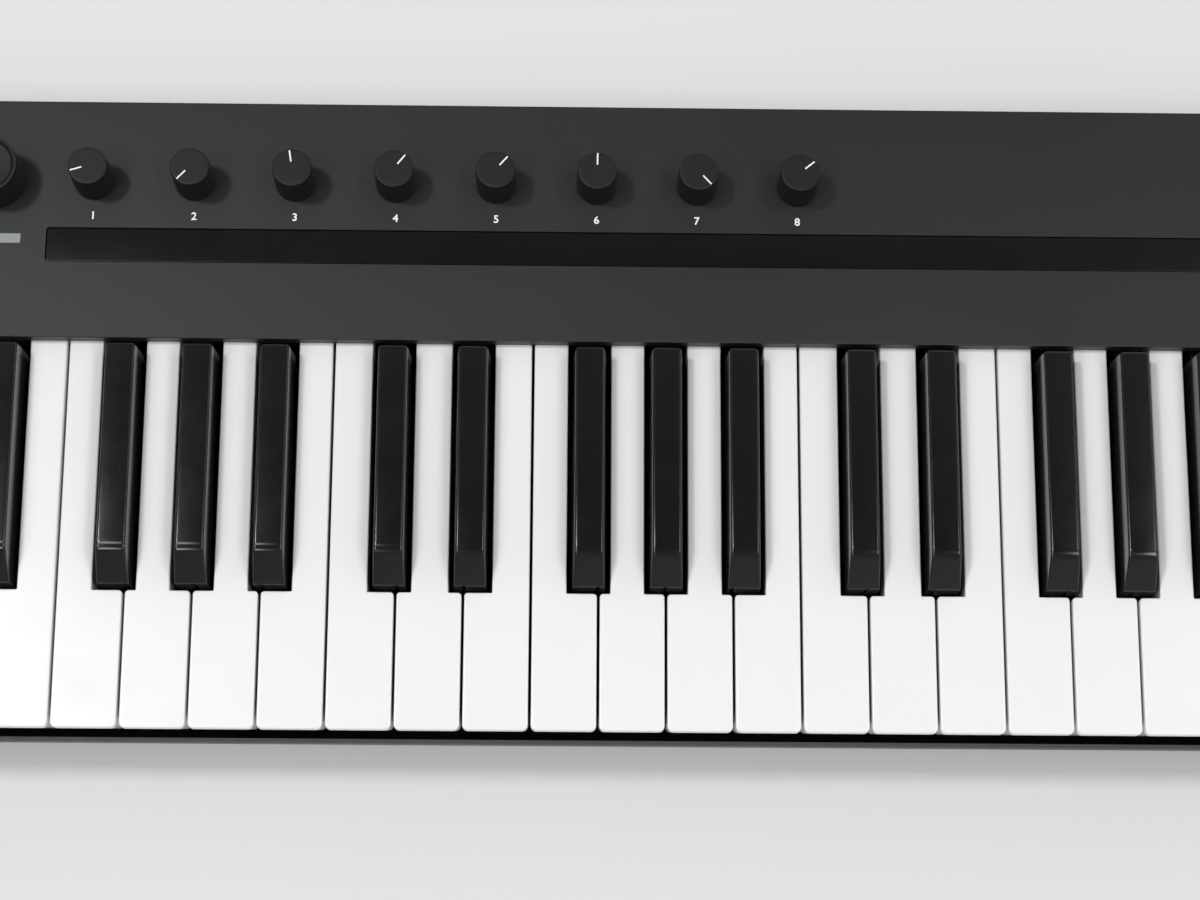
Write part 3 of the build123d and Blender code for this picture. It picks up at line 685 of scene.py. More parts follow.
# %% White key sizes
WELL_HALF = 7.6 * MM
HEAD_LENGTH = 47.9 * MM
TAIL_END = PIVOT.y - 14 * MM
NECK_HALF = 4.2 * MM
LIP_THICKNESS = 3.2 * MM
LIP_OVERHANG = 2.6 * MM
SKIRT_THICKNESS = 2.4 * MM
KEY_THICKNESS = 14 * MM
SKIRT_HEIGHT = 21 * MM
FRONT_CORNER = 1.9 * MM
SHOULDER_CORNER = 1.2 * MM
WELL_CORNER = 0.4 * MM
KEY_EDGE = 0.6 * MM
NECK_TAPER = 2 * MM
black_centres = [middle_of(name).x for name in black_names]
print("black keys' middles in mm:", [round(c / MM, 1) for c in black_centres])


def tail_sides(left, right):
    """The tail's two sides: at a well's edge where a black key stands, or at the head's own side."""
    middle = (left + right) / 2
    tail_left = max([left] + [c + WELL_HALF for c in black_centres if left - WELL_HALF < c < middle])
    tail_right = min([right] + [c - WELL_HALF for c in black_centres if middle < c < right + WELL_HALF])
    return tail_left, tail_right


def white_key_corners(left, right):
    tail_left, tail_right = tail_sides(left, right)
    neck = (tail_left + tail_right) / 2
    shoulder = KEYS_FRONT + HEAD_LENGTH
    corners = [(left, KEYS_FRONT, FRONT_CORNER), (right, KEYS_FRONT, FRONT_CORNER)]
    if tail_right < right:
        corners += [(right, shoulder, SHOULDER_CORNER), (tail_right, shoulder, WELL_CORNER)]
    corners += [
        (tail_right, TAIL_END, 0),
        (neck + NECK_HALF, TAIL_END + NECK_TAPER, 0),
        (neck + NECK_HALF, HEEL_Y, 0),
        (neck - NECK_HALF, HEEL_Y, 0),
        (neck - NECK_HALF, TAIL_END + NECK_TAPER, 0),
        (tail_left, TAIL_END, 0),
    ]
    if tail_left > left:
        corners += [(tail_left, shoulder, WELL_CORNER), (left, shoulder, SHOULDER_CORNER)]
    return corners

# %% [markdown]
# The rod's bore and the step at the heel are cut with one shared cutter: a long cylinder on the rod's
# line and a box behind it. A boolean is right here because both cuts are square across every key.

# %% The cutter at the heels
BORE_R = 2.05 * MM
HEEL_STEP = 3 * MM
CUT_MARGIN = 5 * MM


def box_outline(x, y, half_x, half_y, radius=0):
    """A rectangle's corners round its middle, all with one radius."""
    sides = ((-1, -1), (1, -1), (1, 1), (-1, 1))
    return rounded_outline([(x + i * half_x, y + j * half_y, radius) for i, j in sides], 3)


def heel_cutter():
    left, right = first_low.x - CUT_MARGIN, last_high.x + CUT_MARGIN
    hole = [(PIVOT.y + BORE_R * c, PIVOT.z + BORE_R * s) for c, s in circle(40)]
    bore = skin("bore", [[Vector((x, y, z)) for y, z in hole] for x in (left, right)])
    front, back = PIVOT.y + HEEL_STEP, HEEL_Y + CUT_MARGIN
    outline = box_outline((left + right) / 2, (front + back) / 2, (right - left) / 2, (back - front) / 2)
    step = skin("step", [level(outline, PIVOT.z), level(outline, KEY_TOP + CUT_MARGIN)])
    return joined("heel_cutter", [bore, step])


cutter = heel_cutter()
print("cutter faces:", len(cutter.data.polygons))

# %% Build the white keys
def add_skirt(piece):
    """Extrudes the strip of the key's underside just behind the lip's recess down to the skirt's foot."""
    work = bmesh.new()
    work.from_mesh(piece.data)
    cut = KEYS_FRONT + LIP_OVERHANG + SKIRT_THICKNESS
    everything = work.verts[:] + work.edges[:] + work.faces[:]
    bmesh.ops.bisect_plane(work, geom=everything, plane_co=(0, cut, 0), plane_no=(0, 1, 0), dist=MERGE)
    under = KEY_TOP - KEY_THICKNESS
    strip = [f for f in work.faces if abs(f.calc_center_median().z - under) < MERGE and f.normal.z < -0.5]
    strip = [f for f in strip if f.calc_center_median().y < cut]
    grown = bmesh.ops.extrude_face_region(work, geom=strip)["geom"]
    moved = [v for v in grown if isinstance(v, bmesh.types.BMVert)]
    bmesh.ops.translate(work, verts=moved, vec=(0, 0, KEY_THICKNESS - SKIRT_HEIGHT))
    work.to_mesh(piece.data)
    work.free()


def white_key(name):
    low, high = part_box(name)
    outline = rounded_outline(white_key_corners(low.x, high.x))
    # the outline starts with the two front corners, and only they move back under the lip
    front_points = 2 * (ARC_STEPS + 1)
    recessed = [p + Vector((0, LIP_OVERHANG)) if i < front_points else p for i, p in enumerate(outline)]
    lip_under = KEY_TOP - LIP_THICKNESS
    rings = [level(recessed, KEY_TOP - KEY_THICKNESS), level(recessed, lip_under), level(outline, lip_under)]
    rings += [level(inset(outline, across), KEY_TOP - down) for across, down in quarter_round(KEY_EDGE)]
    rings.append(level(inset(outline, KEY_EDGE + SUPPORT), KEY_TOP))
    piece = skin(name.replace("key", "key_moulding"), rings)
    add_skirt(piece)
    combined(piece, cutter, "DIFFERENCE")
    return hand_over(dressed(piece, "white_key_plastic"), name, "white_key_plastic", name)


white_keys = [white_key(name) for name in white_names]
print("white keys:", len(white_keys), "faces in the first:", len(white_keys[0].data.polygons))

# %% [markdown]
# ## Black keys
# A black key is drafted: its flanks lean in towards a flat, slightly cambered top with rounded edges.
# From the side, a slope rises from the nose to the crown through a large radius, then the top runs level.
# The key is lofted along its length: the side profile gives each cross-section's height, and the flanks'
# lean gives its width, so the slope widens towards the nose by itself, as on the real key.

# %% Black key sizes
BLACK_HALF = 6.0 * MM
# how far in each flank leans for each millimetre of height
BLACK_LEAN = 0.085
BLACK_EDGE = 0.95 * MM
BLACK_CAMBER = 0.07 * MM
NOSE_Y = KEYS_FRONT + 49.55 * MM
NOSE_Z = KEY_TOP + 3.0 * MM
NOSE_R = 0.9 * MM
CROWN_Y = KEYS_FRONT + 60.5 * MM
CROWN_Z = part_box(black_names[0])[1].z
CROWN_R = 7.0 * MM
# the top's edges are sharper at the nose, by this share of their rounding at the crown
NOSE_EDGE_SHARE = 0.4
BACK_Y = KEYS_FRONT + 133.8 * MM
BLACK_BASE = KEY_TOP - 10 * MM
BLACK_NECK_TOP = KEY_TOP - 2.5 * MM
BLACK_NECK_BASE = KEY_TOP - 13 * MM
BLACK_NECK_HALF = 4.0 * MM
NECK_OVERLAP = 3 * MM
CAMBER_STEPS = (0.97, 0.66, 0.33)


def black_section(centre, y, top, pinch):
    """One cross-section as a ring: up the right flank, over the cambered top and down the left flank."""
    rise = min(max((top - NOSE_Z) / (CROWN_Z - NOSE_Z), 0.0), 1.0)
    edge = BLACK_EDGE * (NOSE_EDGE_SHARE + (1 - NOSE_EDGE_SHARE) * rise)
    shoulder = top - BLACK_CAMBER
    half = BLACK_HALF - BLACK_LEAN * (shoulder - edge - KEY_TOP) - pinch
    side = [(BLACK_HALF - pinch, BLACK_BASE), (BLACK_HALF - pinch, KEY_TOP)]
    side += [(half - across, shoulder - down) for across, down in quarter_round(edge)]
    side += [((half - edge) * f, top - BLACK_CAMBER * f * f) for f in CAMBER_STEPS]
    right = [Vector((centre + x, y, z)) for x, z in side]
    left = [Vector((centre - x, y, z)) for x, z in reversed(side)]
    return right + [Vector((centre, y, top))] + left


def end_pinch(distance):
    """How far the flanks draw in near an end, which rounds the upright edges there."""
    if distance >= NOSE_R:
        return 0.0
    return NOSE_R - math.sqrt(NOSE_R**2 - (NOSE_R - max(distance, 0.0)) ** 2)


print("black key's top above the white keys:", round((CROWN_Z - KEY_TOP) / MM, 1), "mm")

# %% Build the black keys
def black_key(name):
    centre = middle_of(name).x
    side_view = [
        (NOSE_Y, BLACK_BASE, 0),
        (NOSE_Y, NOSE_Z, NOSE_R),
        (CROWN_Y, CROWN_Z, CROWN_R),
        (BACK_Y, CROWN_Z, NOSE_R),
        (BACK_Y, BLACK_BASE, 0),
    ]
    stations = rounded_outline(side_view, 8)[1:-1]
    pinches = [end_pinch(min(p.x - NOSE_Y, BACK_Y - p.x)) for p in stations]
    sections = [black_section(centre, p.x, p.y, pinch) for p, pinch in zip(stations, pinches)]
    body = skin(name.replace("key", "key_moulding"), sections)
    neck_front = BACK_Y - NECK_OVERLAP
    neck_middle, neck_half = (neck_front + HEEL_Y) / 2, (HEEL_Y - neck_front) / 2
    neck_outline = box_outline(centre, neck_middle, BLACK_NECK_HALF, neck_half)
    neck = skin("neck", [level(neck_outline, BLACK_NECK_BASE), level(neck_outline, BLACK_NECK_TOP)])
    combined(body, neck, "UNION")
    bpy.data.objects.remove(neck)
    combined(body, cutter, "DIFFERENCE")
    return hand_over(dressed(body, "black_key_plastic"), name, "black_key_plastic", name)


black_keys = [black_key(name) for name in black_names]
bpy.data.objects.remove(cutter)
print("black keys:", len(black_keys), "faces in the first:", len(black_keys[0].data.polygons))

# %% [markdown]
# ## Knobs and encoder
# The knobs are turned shapes: a slightly tapered cap with a small rounding at the rim, over a short
# undercut and a stem. The encoder is wider and has a shallow dish for a fingertip. A profile spun about
# the knob's own axis is the natural way to make both. The axis and the levels come from the CAD nodes'
# boxes.

# %% Turn the knobs
KNOB_TAPER = 0.35 * MM
KNOB_RIM = 0.55 * MM
CAP_GAP = 0.6 * MM
STEM_R = 3.0 * MM
UNDERCUT = 0.35 * MM
SKIRT_WALL = 0.2 * MM
KNOB_LEDGE = 0.9 * MM
ENCODER_LEDGE = 1.0 * MM


def turned_cap(name, ledge, upper, steps):
    """A cap on its CAD node's axis: the stem and the undercut that all share, then its own upper profile."""
    low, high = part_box(name)
    base = (high.x - low.x) / 2
    foot = PANEL_TOP + CAP_GAP
    corners = [
        (0, low.z, 0),
        (STEM_R, low.z, 0),
        (STEM_R, foot + UNDERCUT, 0),
        (base - ledge, foot + UNDERCUT, 0),
        (base - ledge + SKIRT_WALL, foot, 0.1 * MM),
        (base, foot, 0.15 * MM),
        *upper(base, high.z),
    ]
    middle = middle_of(name)
    piece = turned(name + "_cap", corners, middle.x, middle.y, steps)
    return hand_over(dressed(piece, "knob_plastic"), name, "knob_plastic", name)


def flat_top(base, top):
    """A slightly tapered side and a flat top with a rounded rim."""
    radius = base - KNOB_TAPER
    return [(radius, top, KNOB_RIM), (radius - 1.6 * MM, top, 0), (0, top, 0)]


def dished_top(base, top):
    """A narrow flat rim round a shallow dish."""
    radius = base - 0.3 * MM
    return [
        (radius, top, 0.4 * MM),
        (radius - 1.0 * MM, top, 0.2 * MM),
        (radius - 2.1 * MM, top - 1.1 * MM, 0.5 * MM),
        (radius * 0.4, top - 1.25 * MM, 0),
        (0, top - 1.3 * MM, 0),
    ]


caps = [turned_cap(name, KNOB_LEDGE, flat_top, 96) for name in knob_names]
caps.append(turned_cap("value_encoder", ENCODER_LEDGE, dished_top, 128))
print("caps:", len(caps))

# %% [markdown]
# ## Printed marks
# Each knob has a white line from near its middle to near its rim, printed on the cap, so it rides on the
# knob. The digits under the knobs and the plain grey bar by the encoder are printed on the panel. A text
# object makes the digits. Its mesh is then scaled to the printed height and laid just above the paint.

# %% Marker lines on the knobs
SHOWN_TURN = [-107, -137, -9, 38, 41, 1, 137, 51]
MARK_INNER = 2.1 * MM
MARK_OUTER = 6.4 * MM
MARK_HALF = 0.26 * MM
MARK_CORNER = 0.15 * MM
INK = 0.03 * MM
LIFT = 0.01 * MM


def printed(name, outline, surface, finish):
    """A film of ink over an outline, just above a surface."""
    return dressed(slab(name, outline, surface + LIFT, surface + LIFT + INK, INK / 2), finish)


def marker_line(name, clockwise):
    """A thin printed line on a knob's top, at an angle clockwise from the rear."""
    middle = middle_of(name)
    mark_middle, mark_length = (MARK_INNER + MARK_OUTER) / 2, (MARK_OUTER - MARK_INNER) / 2
    line = box_outline(0, mark_middle, MARK_HALF, mark_length, MARK_CORNER)
    turn = Matrix.Rotation(math.radians(-clockwise), 2)
    outline = [turn @ p + middle.xy for p in line]
    return hand_over(printed(name + "_marker", outline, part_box(name)[1].z, "white_ink"), name, "knob_plastic")


markers = [marker_line(name, turn) for name, turn in zip(knob_names, SHOWN_TURN)]
print("marker lines:", len(markers))

# %% Digits and the encoder's bar
DIGIT_HEIGHT = 2.9 * MM
DIGIT_DROP = 12.95 * MM
DIGIT_WEIGHT = 0.02


def digit(text, x, y):
    """One digit as a thin mesh, its middle at x and y."""
    curve = bpy.data.curves.new("digit", "FONT")
    curve.body = text
    curve.offset = DIGIT_WEIGHT
    curve.extrude = 0.01
    curve.resolution_u = 6
    letter = bpy.data.objects.new("digit", curve)
    mesh = bpy.data.meshes.new_from_object(letter)
    bpy.data.objects.remove(letter)
    xs = [v.co.x for v in mesh.vertices]
    ys = [v.co.y for v in mesh.vertices]
    scale = DIGIT_HEIGHT / (max(ys) - min(ys))
    for v in mesh.vertices:
        flat_x = (v.co.x - (min(xs) + max(xs)) / 2) * scale
        flat_y = (v.co.y - (min(ys) + max(ys)) / 2) * scale
        v.co = (x + flat_x, y + flat_y, PANEL_TOP + LIFT + (INK if v.co.z > 0 else 0))
    return dressed(piece_of("digit", mesh), "white_ink")


digits = []
for number, name in enumerate(knob_names, 1):
    middle = middle_of(name)
    digits.append(digit(str(number), middle.x, middle.y - DIGIT_DROP))
hand_over(joined("knob_digits", digits), "case", "panel_metal")

BAR_HALF_X = 10.1 * MM
BAR_HALF_Y = 1.75 * MM
BAR_DROP = 21.8 * MM
encoder_middle = middle_of("value_encoder")
bar_outline = box_outline(encoder_middle.x, encoder_middle.y - BAR_DROP, BAR_HALF_X, BAR_HALF_Y, 0.2 * MM)
hand_over(printed("encoder_bar", bar_outline, PANEL_TOP, "grey_ink"), "case", "panel_metal")
print("digits and bar printed")

# %% [markdown]
# ## Things that repeat: Geometry Nodes
# Grip ribs round a wheel, rings under a foot, pins in a socket and small parts on a board are one shape
# many times. A Geometry Nodes tree places them on points, with its sizes as named inputs. `grow` runs a
# tree on a small seed mesh whose vertices are the places, and keeps the result as a plain mesh.

# %% A tree and its result
class Grower(Graph):
    """A Geometry Nodes tree with a geometry input, named inputs and one geometry output."""

    KINDS = {float: "NodeSocketFloat", int: "NodeSocketInt", "material": "NodeSocketMaterial"}

    def __init__(self, name, **inputs):
        super().__init__(bpy.data.node_groups.new(name, "GeometryNodeTree"))
        face = self.tree.interface
        face.new_socket("Geometry", in_out="OUTPUT", socket_type="NodeSocketGeometry")
        face.new_socket("Geometry", in_out="INPUT", socket_type="NodeSocketGeometry")
        for label, kind in inputs.items():
            face.new_socket(label, in_out="INPUT", socket_type=self.KINDS[kind])
        self.entry = self.tree.nodes.new("NodeGroupInput")

    def given(self, label):
        return Wire(self, pick(self.entry.outputs, label))

    def rod(self, sides, radius, depth):
        """A short straight rod along Z."""
        values = {"Vertices": sides, "Radius": radius, "Depth": depth}
        return self.node("GeometryNodeMeshCylinder", {"fill_type": "NGON"}, values, "Mesh")

    def rotated(self, shape, x=0, y=0):
        """A shape turned by degrees about X and Y."""
        values = {"Geometry": shape, "Rotation": (math.radians(x), math.radians(y), 0.0)}
        return self.node("GeometryNodeTransform", inputs=values)

    def stand(self, shape, points, **more):
        """A copy of the shape on each point."""
        values = {"Points": points, "Instance": shape, **more}
        return self.node("GeometryNodeInstanceOnPoints", inputs=values)

    def end(self, shape):
        """Stands the shape on each place, makes the copies real and gives them their material."""
        copies = self.stand(shape, self.given("Geometry"))
        real = self.node("GeometryNodeRealizeInstances", inputs={"Geometry": copies})
        values = {"Geometry": real, "Material": self.given("Material")}
        leave = self.tree.nodes.new("NodeGroupOutput")
        self.feed(leave.inputs["Geometry"], self.node("GeometryNodeSetMaterial", inputs=values))
        print(self.tree.name, "nodes:", len(self.tree.nodes))
        return self


def grow(name, grower, places, **values):
    """The tree's result on a seed mesh whose vertices are the places."""
    seed = bpy.data.meshes.new(name + "_seed")
    seed.from_pydata([tuple(p) for p in places], [], [])
    carrier = bpy.data.objects.new(name, seed)
    bpy.context.scene.collection.objects.link(carrier)
    modifier = carrier.modifiers.new("grow", "NODES")
    modifier.node_group = grower.tree
    for item in grower.tree.interface.items_tree:
        if item.in_out == "INPUT" and item.name in values:
            modifier[item.identifier] = values[item.name]
    return settled(carrier)

# %% [markdown]
# ### Wheels
# The two thumb wheels keep their CAD shape, with a finger notch across the rim. A fine row of grip ribs
# runs round the rim and stops at the notch. The tree makes a circle of points, drops those inside the
# notch, stands a small bar on each, and turns the whole ring to face along X.

# %% Wheel grips
RIB_SIDES = 8
WHEEL_R = 24 * MM
RIB_R = 0.3 * MM
RIB_SINK = 0.05 * MM
RIB_WIDTH = 6.2 * MM
RIB_NOTCH = 2.6 * MM
RIB_COUNT = 120


def rib_ring_tree():
    sizes = {"Radius": float, "Width": float, "Height": float, "Notch": float}
    tree = Grower("rib_ring", Count=int, Material="material", **sizes)
    values = {"Vertices": tree.given("Count"), "Radius": tree.given("Radius")}
    whole = tree.node("GeometryNodeMeshCircle", {"fill_type": "NONE"}, values)
    across = tree.along("X", tree.node("GeometryNodeInputPosition"))
    in_notch = across < tree.given("Notch") - tree.given("Radius")
    values = {"Geometry": whole, "Selection": in_notch}
    ring = tree.node("GeometryNodeDeleteGeometry", {"domain": "POINT"}, values)
    bar = tree.rod(RIB_SIDES, tree.given("Height"), tree.given("Width"))
    return tree.end(tree.rotated(tree.stand(bar, ring), y=90))


rib_ring = rib_ring_tree()
for name, joint in (("pitch_wheel", "pitch_wheel_bend"), ("mod_wheel", "mod_wheel_turn")):
    hand_over(dressed(refined_copy(name), "knob_plastic"), name, "knob_plastic", name)
    grip = grow(
        name + "_grip", rib_ring, [joints[joint]["pos_m"]],
        Count=RIB_COUNT, Radius=WHEEL_R - RIB_SINK, Width=RIB_WIDTH, Height=RIB_R, Notch=RIB_NOTCH,
        Material=finishes["knob_plastic"],
    )
    hand_over(grip, name, "knob_plastic")
    print(name, "ribs, faces:", len(grip.data.polygons))

# %% [markdown]
# ### Octave rocker
# The rocker is a shallow saddle that tips to the left or the right. Its two ends are marked with a minus
# and a plus, printed like the digits, one octave down and one up.

# %% Rocker and its marks
rocker = dressed(refined_copy("octave_rocker"), "knob_plastic")
hand_over(rocker, "octave_rocker", "knob_plastic", "octave_rocker")
rocker_low, rocker_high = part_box("octave_rocker")
MARK_ARM = 1.3 * MM
MARK_WIDE = 0.3 * MM
MARK_INSET = 3.6 * MM
MARK_LEVEL = rocker_high.z - 0.24 * MM
MARK_DEPTH = 0.38 * MM


def bar_mark(x, half_x, half_y):
    """A small printed bar on the rocker. It reaches down into the saddle's slope, so no edge floats."""
    outline = box_outline(x, middle_of("octave_rocker").y, half_x, half_y)
    return dressed(slab("mark", outline, MARK_LEVEL - MARK_DEPTH, MARK_LEVEL, INK / 2), "white_ink")


minus_x = rocker_low.x + MARK_INSET
plus_x = rocker_high.x - MARK_INSET
marks = [
    bar_mark(minus_x, MARK_ARM, MARK_WIDE),
    bar_mark(plus_x, MARK_ARM, MARK_WIDE),
    bar_mark(plus_x, MARK_WIDE, MARK_ARM),
]
hand_over(joined("rocker_marks", marks), "octave_rocker", "knob_plastic")
print("rocker marked")

# %% [markdown]
# ## Case, panel and window
# These keep their CAD shapes. A merged copy of each is shaded smooth across its fillets. On the sockets,
# rods, potentiometers and screws, the edges that CAD left sharp are broken by a small bevel, because a
# real moulded or folded edge always catches a line of light.

# %% Case, panel, window and the parts inside
REFINED = {
    "top_panel": ("panel_metal", 0.0),
    "bottom_case": ("case_plastic", 0.0),
    "display_window": ("display_glass", 0.0),
    "key_frame": ("frame_plastic", 0.0),
    "rear_sockets": ("socket_plastic", 0.15 * MM),
    "pivot_rods": ("rod_steel", 0.3 * MM),
    "key_spring_comb": ("spring_steel", 0.0),
    "circuit_boards": ("board", 0.0),
    "knob_potentiometers": ("pot_metal", 0.25 * MM),
    "rubber_feet": ("foot_rubber", 0.0),
    "case_screws": ("screw_steel", 0.12 * MM),
}
for node, (finish, bevel) in REFINED.items():
    piece = dressed(refined_copy(node, bevel), finish)
    hand_over(piece, "case", finish, node)
    print(node, "faces:", len(piece.data.polygons))

# %% [markdown]
# ### Rings under the feet
# A rubber foot is moulded with a few raised rings on its sole, so that it grips. The tree stands three
# rings of growing radius on each of the six places. The rings are shallow, and end at the sole's own
# level.

# %% Foot rings
FOOT_R = 9 * MM
RING_THICKNESS = 0.3 * MM
RING_RADII = (2.2 * MM, 4.4 * MM, 6.6 * MM)


def foot_ring_tree():
    tree = Grower("foot_rings", Radius=float, Thickness=float, Material="material")
    kind = ("GeometryNodeCurvePrimitiveCircle", {"mode": "RADIUS"})
    bend = tree.node(*kind, {"Resolution": 48, "Radius": tree.given("Radius")}, "Curve")
    section = tree.node(*kind, {"Resolution": 8, "Radius": tree.given("Thickness")}, "Curve")
    return tree.end(tree.node("GeometryNodeCurveToMesh", inputs={"Curve": bend, "Profile Curve": section}))


feet_low, feet_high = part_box("rubber_feet")
foot_xs = [feet_low.x + FOOT_R, mounts["underside_feet"].x, feet_high.x - FOOT_R]
foot_ys = [feet_low.y + FOOT_R, feet_high.y - FOOT_R]
places = [(x, y, RING_THICKNESS) for x in foot_xs for y in foot_ys]
foot_rings = foot_ring_tree()
ring_sets = []
for radius in RING_RADII:
    sizes = {"Radius": radius, "Thickness": RING_THICKNESS, "Material": finishes["foot_rubber"]}
    ring_sets.append(grow("rings", foot_rings, places, **sizes))
hand_over(joined("foot_rings", ring_sets), "case", "foot_rubber")
print("foot rings:", len(places) * len(RING_RADII))

# %% [markdown]
# ### Nuts and pins at the rear
# Each pedal jack is held by a nickel-plated nut, and each five-pin socket has a metal shell round its
# rim. Both are one small half section carried round an axis along Y. The pins inside the sockets are
# short rods, so a tree lays one on each of five places round half a circle.

# %% Rear rings
SOCKET_Z = mounts["pedal_jack_1"].z
JACK_XS = [mounts["pedal_jack_1"].x, mounts["pedal_jack_2"].x]
FIVE_PIN_XS = [202 * MM, 228 * MM]
RING_SINK = 0.9 * MM
# inner radius, outer radius and how far each stands proud
JACK_NUT = (3.35 * MM, 6.3 * MM, 0.9 * MM)
SOCKET_SHELL = (7.3 * MM, 8.9 * MM, 0.5 * MM)


def rear_ring(x, inner, outer, proud):
    """A nickel ring round a rear socket, its flat face to the rear."""
    corners = [
        (inner, -RING_SINK, 0),
        (outer, -RING_SINK, 0),
        (outer, proud, 0.3 * MM),
        (inner, proud, 0.2 * MM),
    ]
    profile = rounded_outline(corners, 4)
    profile.append(profile[0])
    rings = []
    for p in profile:
        rings.append([Vector((x + p.x * c, REAR + p.y, SOCKET_Z + p.x * s)) for c, s in circle(72)])
    return dressed(skin("rear_ring", rings, caps=False), "nickel_plate")


rear_rings = [rear_ring(x, *JACK_NUT) for x in JACK_XS]
rear_rings += [rear_ring(x, *SOCKET_SHELL) for x in FIVE_PIN_XS]
hand_over(joined("socket_rings", rear_rings), "case", "socket_plastic")
print("rear rings:", len(JACK_XS) + len(FIVE_PIN_XS))

# %% Socket pins
CONTACT_DEPTH = 5 * MM
CONTACT_R = 0.62 * MM
CONTACT_Y = REAR - 1.2 * MM - CONTACT_DEPTH / 2
CONTACT_CIRCLE_R = 5 * MM
CONTACT_TURNS = [math.radians(180 + 45 * k) for k in range(5)]


def pin_tree():
    tree = Grower("socket_contacts", Radius=float, Depth=float, Material="material")
    return tree.end(tree.rotated(tree.rod(16, tree.given("Radius"), tree.given("Depth")), x=90))


pin_places = []
for x in FIVE_PIN_XS:
    for turn in CONTACT_TURNS:
        across, up = CONTACT_CIRCLE_R * math.cos(turn), CONTACT_CIRCLE_R * math.sin(turn)
        pin_places.append((x + across, CONTACT_Y, SOCKET_Z + up))
sizes = {"Radius": CONTACT_R, "Depth": CONTACT_DEPTH, "Material": finishes["nickel_plate"]}
hand_over(grow("socket_contacts", pin_tree(), pin_places, **sizes), "case", "socket_plastic")
print("contacts:", len(pin_places))

# %% [markdown]
# ### Small parts on the boards
# Under the panel the boards carry rows of small chips. The tree scatters points over a narrow strip with
# a fixed seed, and stands a small block on each, turned by quarter turns.

# %% Board parts
STRIP_MIDDLE = (cad_low.x + 242 * MM, REAR - 49 * MM, 12.5 * MM)
STRIP_LENGTH = 240 * MM
STRIP_WIDTH = 4 * MM
CHIP = (3.2 * MM, 1.7 * MM, 0.9 * MM)
CHIP_SPACING = 4.5 * MM


def board_parts_tree():
    tree = Grower("board_parts", Length=float, Width=float, Seed=int, Material="material")
    sides = {"Size X": tree.given("Length"), "Size Y": tree.given("Width"), "Vertices X": 2, "Vertices Y": 2}
    area = tree.node("GeometryNodeMeshGrid", inputs=sides)
    scatter = {
        "Mesh": area,
        "Distance Min": CHIP_SPACING,
        "Density Max": 30000.0,
        "Seed": tree.given("Seed"),
    }
    poisson = {"distribute_method": "POISSON"}
    spots = tree.node("GeometryNodeDistributePointsOnFaces", poisson, scatter, "Points")
    chip = tree.node("GeometryNodeMeshCube", inputs={"Size": CHIP}, output="Mesh")
    limits = {"Min_002": 0, "Max_002": 3, "Seed": tree.given("Seed")}
    quarter = tree.node("FunctionNodeRandomValue", {"data_type": "INT"}, limits, "Value_002")
    turn = tree.node("ShaderNodeCombineXYZ", inputs={"Z": quarter * math.radians(90)})
    return tree.end(tree.stand(chip, spots, Rotation=turn))


small_parts = grow(
    "board_small_parts", board_parts_tree(), [STRIP_MIDDLE],
    Length=STRIP_LENGTH, Width=STRIP_WIDTH, Seed=7, Material=finishes["socket_plastic"],
)
hand_over(small_parts, "case", "board")
print("board parts, faces:", len(small_parts.data.polygons))

# %% [markdown]
# ## Floor, lamps and camera
# The stage is a plain pale table. Two soft lamps hang almost overhead, left and right, so every knob
# throws two soft shadows. Two large fills hang further out to the sides and a little to the front, where
# the panel throws no shadow of theirs behind it. Two small bluish lamps are there to be mirrored, as soft
# lines along the crowns of the black keys.

# %% The table
REACH = 4.0
TABLE_CORNERS = [(-REACH, -REACH, 0), (REACH, -REACH, 0), (REACH, REACH, 0), (-REACH, REACH, 0)]
floor_mesh = bpy.data.meshes.new("table_top")
floor_mesh.from_pydata(TABLE_CORNERS, [], [(0, 1, 2, 3)])
floor = bpy.data.objects.new("table_top", floor_mesh)
bpy.context.scene.collection.objects.link(floor)
table_finish = Finish("table_paint", (0.69, 0.69, 0.682), 0.85)
table_finish.set(base_color=table_finish.shade(0.01, table_finish.noise(7.0, 3.0)))
dressed(floor, "table_paint")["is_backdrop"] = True

# %% The lamps
AIM = Vector((0, -0.02, 0.05))
WHITE = (1, 1, 1)
BLUISH = (0.86, 0.93, 1.0)


def lamp(name, place, size, power, colour):
    """A round soft lamp, its size in metres and its power in watts, aimed at the keyboard."""
    data = bpy.data.lights.new(name, "AREA")
    data.color = colour
    data.shape = "DISK"
    data.size = size
    data.energy = power
    light = bpy.data.objects.new(name, data)
    light.location = place
    light.rotation_euler = (AIM - Vector(place)).to_track_quat("-Z", "Y").to_euler()
    bpy.context.scene.collection.objects.link(light)
    return light


lamps = [
    lamp("lamp_left", (-1.22, 0.32, 3.0), 0.4, 31.0, WHITE),
    lamp("lamp_right", (1.47, 0.32, 3.0), 0.45, 10.0, WHITE),
    lamp("ceiling_glow", (-0.68, -0.12, 3.0), 0.5, 5.0, BLUISH),
    lamp("left_fill", (-1.6, -1.0, 3.2), 1.2, 33.0, WHITE),
    lamp("right_fill", (1.6, -1.0, 3.2), 1.2, 31.0, WHITE),
    lamp("crown_glint", (-0.9, -2.35, 3.4), 0.55, 9.0, BLUISH),
]
print("lamps:", len(lamps))

# %% [markdown]
# The surround is bright low down and dim overhead, like a white room under a high ceiling. That keeps the
# shadows open, and leaves something dark for the glossy black keys to mirror. It is brighter to the right
# and to the rear, so the black keys' right edges catch a line of light and their sloping noses stay dark.

# %% The surround
SURROUND = 0.69
OVERHEAD_DIMMING = 0.97
RIGHT_GAIN = 0.3
REAR_GAIN = 0.28
SIDE_CHANGE = 3.0


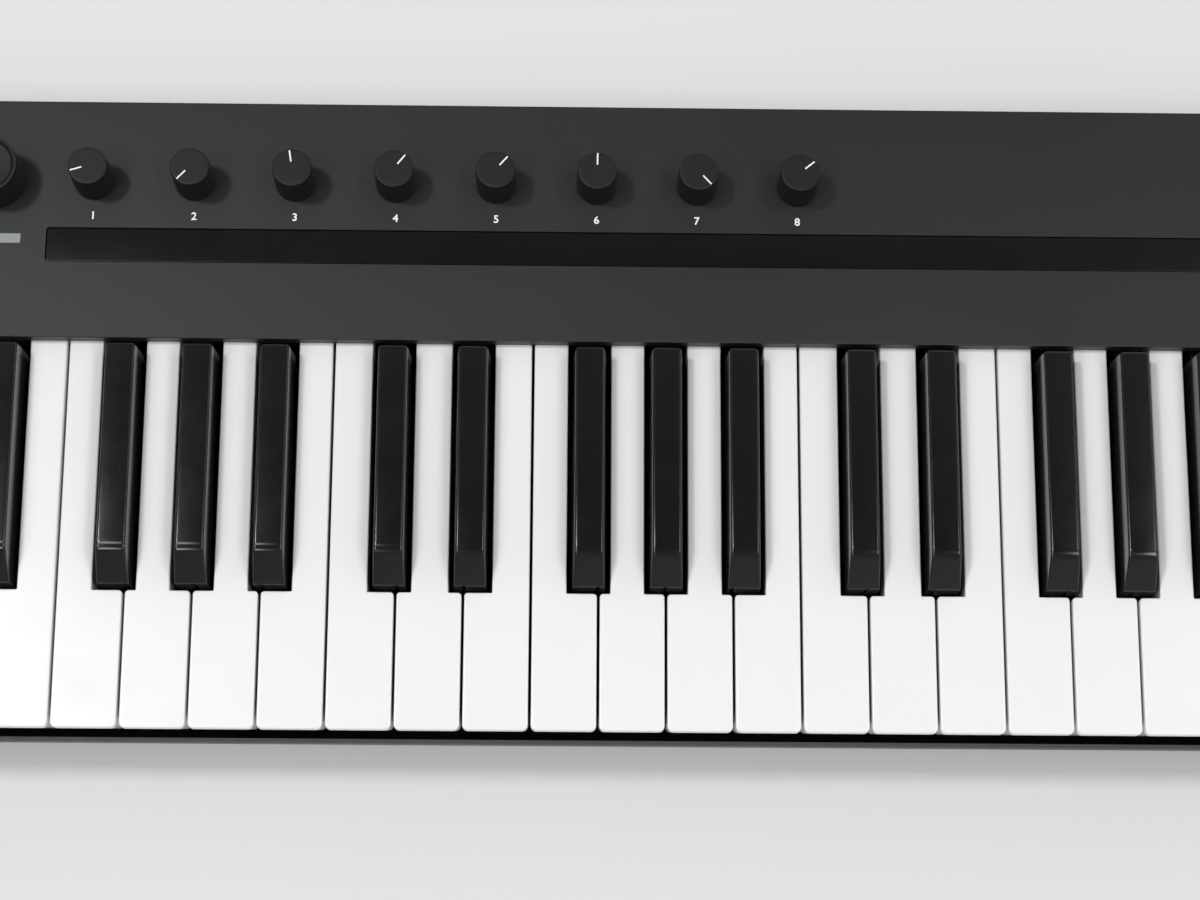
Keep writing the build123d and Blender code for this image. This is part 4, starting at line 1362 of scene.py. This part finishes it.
def make_surround():
    world = bpy.data.worlds.new("surround")
    bpy.context.scene.world = world
    world.use_nodes = True
    sky = Graph(world.node_tree)
    direction = sky.node("ShaderNodeTexCoord", output="Generated")
    overhead = sky.along("Z", direction).math("MAXIMUM", 0.0).math("POWER", 2.0)
    to_the_right = (sky.along("X", direction) * SIDE_CHANGE).math("TANH")
    to_the_rear = (sky.along("Y", direction) * SIDE_CHANGE).math("TANH")
    level_up = 1 - overhead * OVERHEAD_DIMMING
    level_across = 1 + to_the_right * RIGHT_GAIN
    level_along = 1 + to_the_rear * REAR_GAIN
    background = world.node_tree.nodes["Background"]
    background.inputs["Color"].default_value = (0.99, 1.0, 1.0, 1)
    sky.feed(background.inputs["Strength"], level_up * level_across * level_along * SURROUND)
    print("surround nodes:", len(world.node_tree.nodes))


make_surround()
bpy.context.scene.view_settings.view_transform = "Standard"
bpy.context.scene.view_settings.look = "None"

# %% The camera
VIEW_FROM = Vector((31.62, -246.15, 988.59)) * MM
VIEW_YAW = math.radians(-3.105)
VIEW_ELEVATION = math.radians(75.879)
VIEW_ROLL = math.radians(3.511)
camera_data = bpy.data.cameras.new("camera")
camera_data.lens = 81.86
camera_data.sensor_width = 36.0
camera = bpy.data.objects.new("camera", camera_data)
pitch_turn = Matrix.Rotation(math.radians(90) - VIEW_ELEVATION, 4, "X")
camera.matrix_world = (
    Matrix.Translation(VIEW_FROM)
    @ Matrix.Rotation(VIEW_YAW, 4, "Z")
    @ pitch_turn
    @ Matrix.Rotation(VIEW_ROLL, 4, "Z")
)
bpy.context.scene.collection.objects.link(camera)
bpy.context.scene.camera = camera
print("camera distance:", round(VIEW_FROM.length, 3), "m")

# %% [markdown]
# ## Compare the sizes
# The finished keyboard has to fill the same box as the CAD model. Both boxes are kept side by side, and
# their difference is printed in millimetres.

# %% Sizes
bpy.context.view_layer.update()
visual_low, visual_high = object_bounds()
sizes = {"cad": [list(cad_low), list(cad_high)], "visual": [list(visual_low), list(visual_high)]}
growth = [round((v - c) / MM, 2) for v, c in zip((*visual_low, *visual_high), (*cad_low, *cad_high))]
print("visual box less CAD box, mm:", growth)
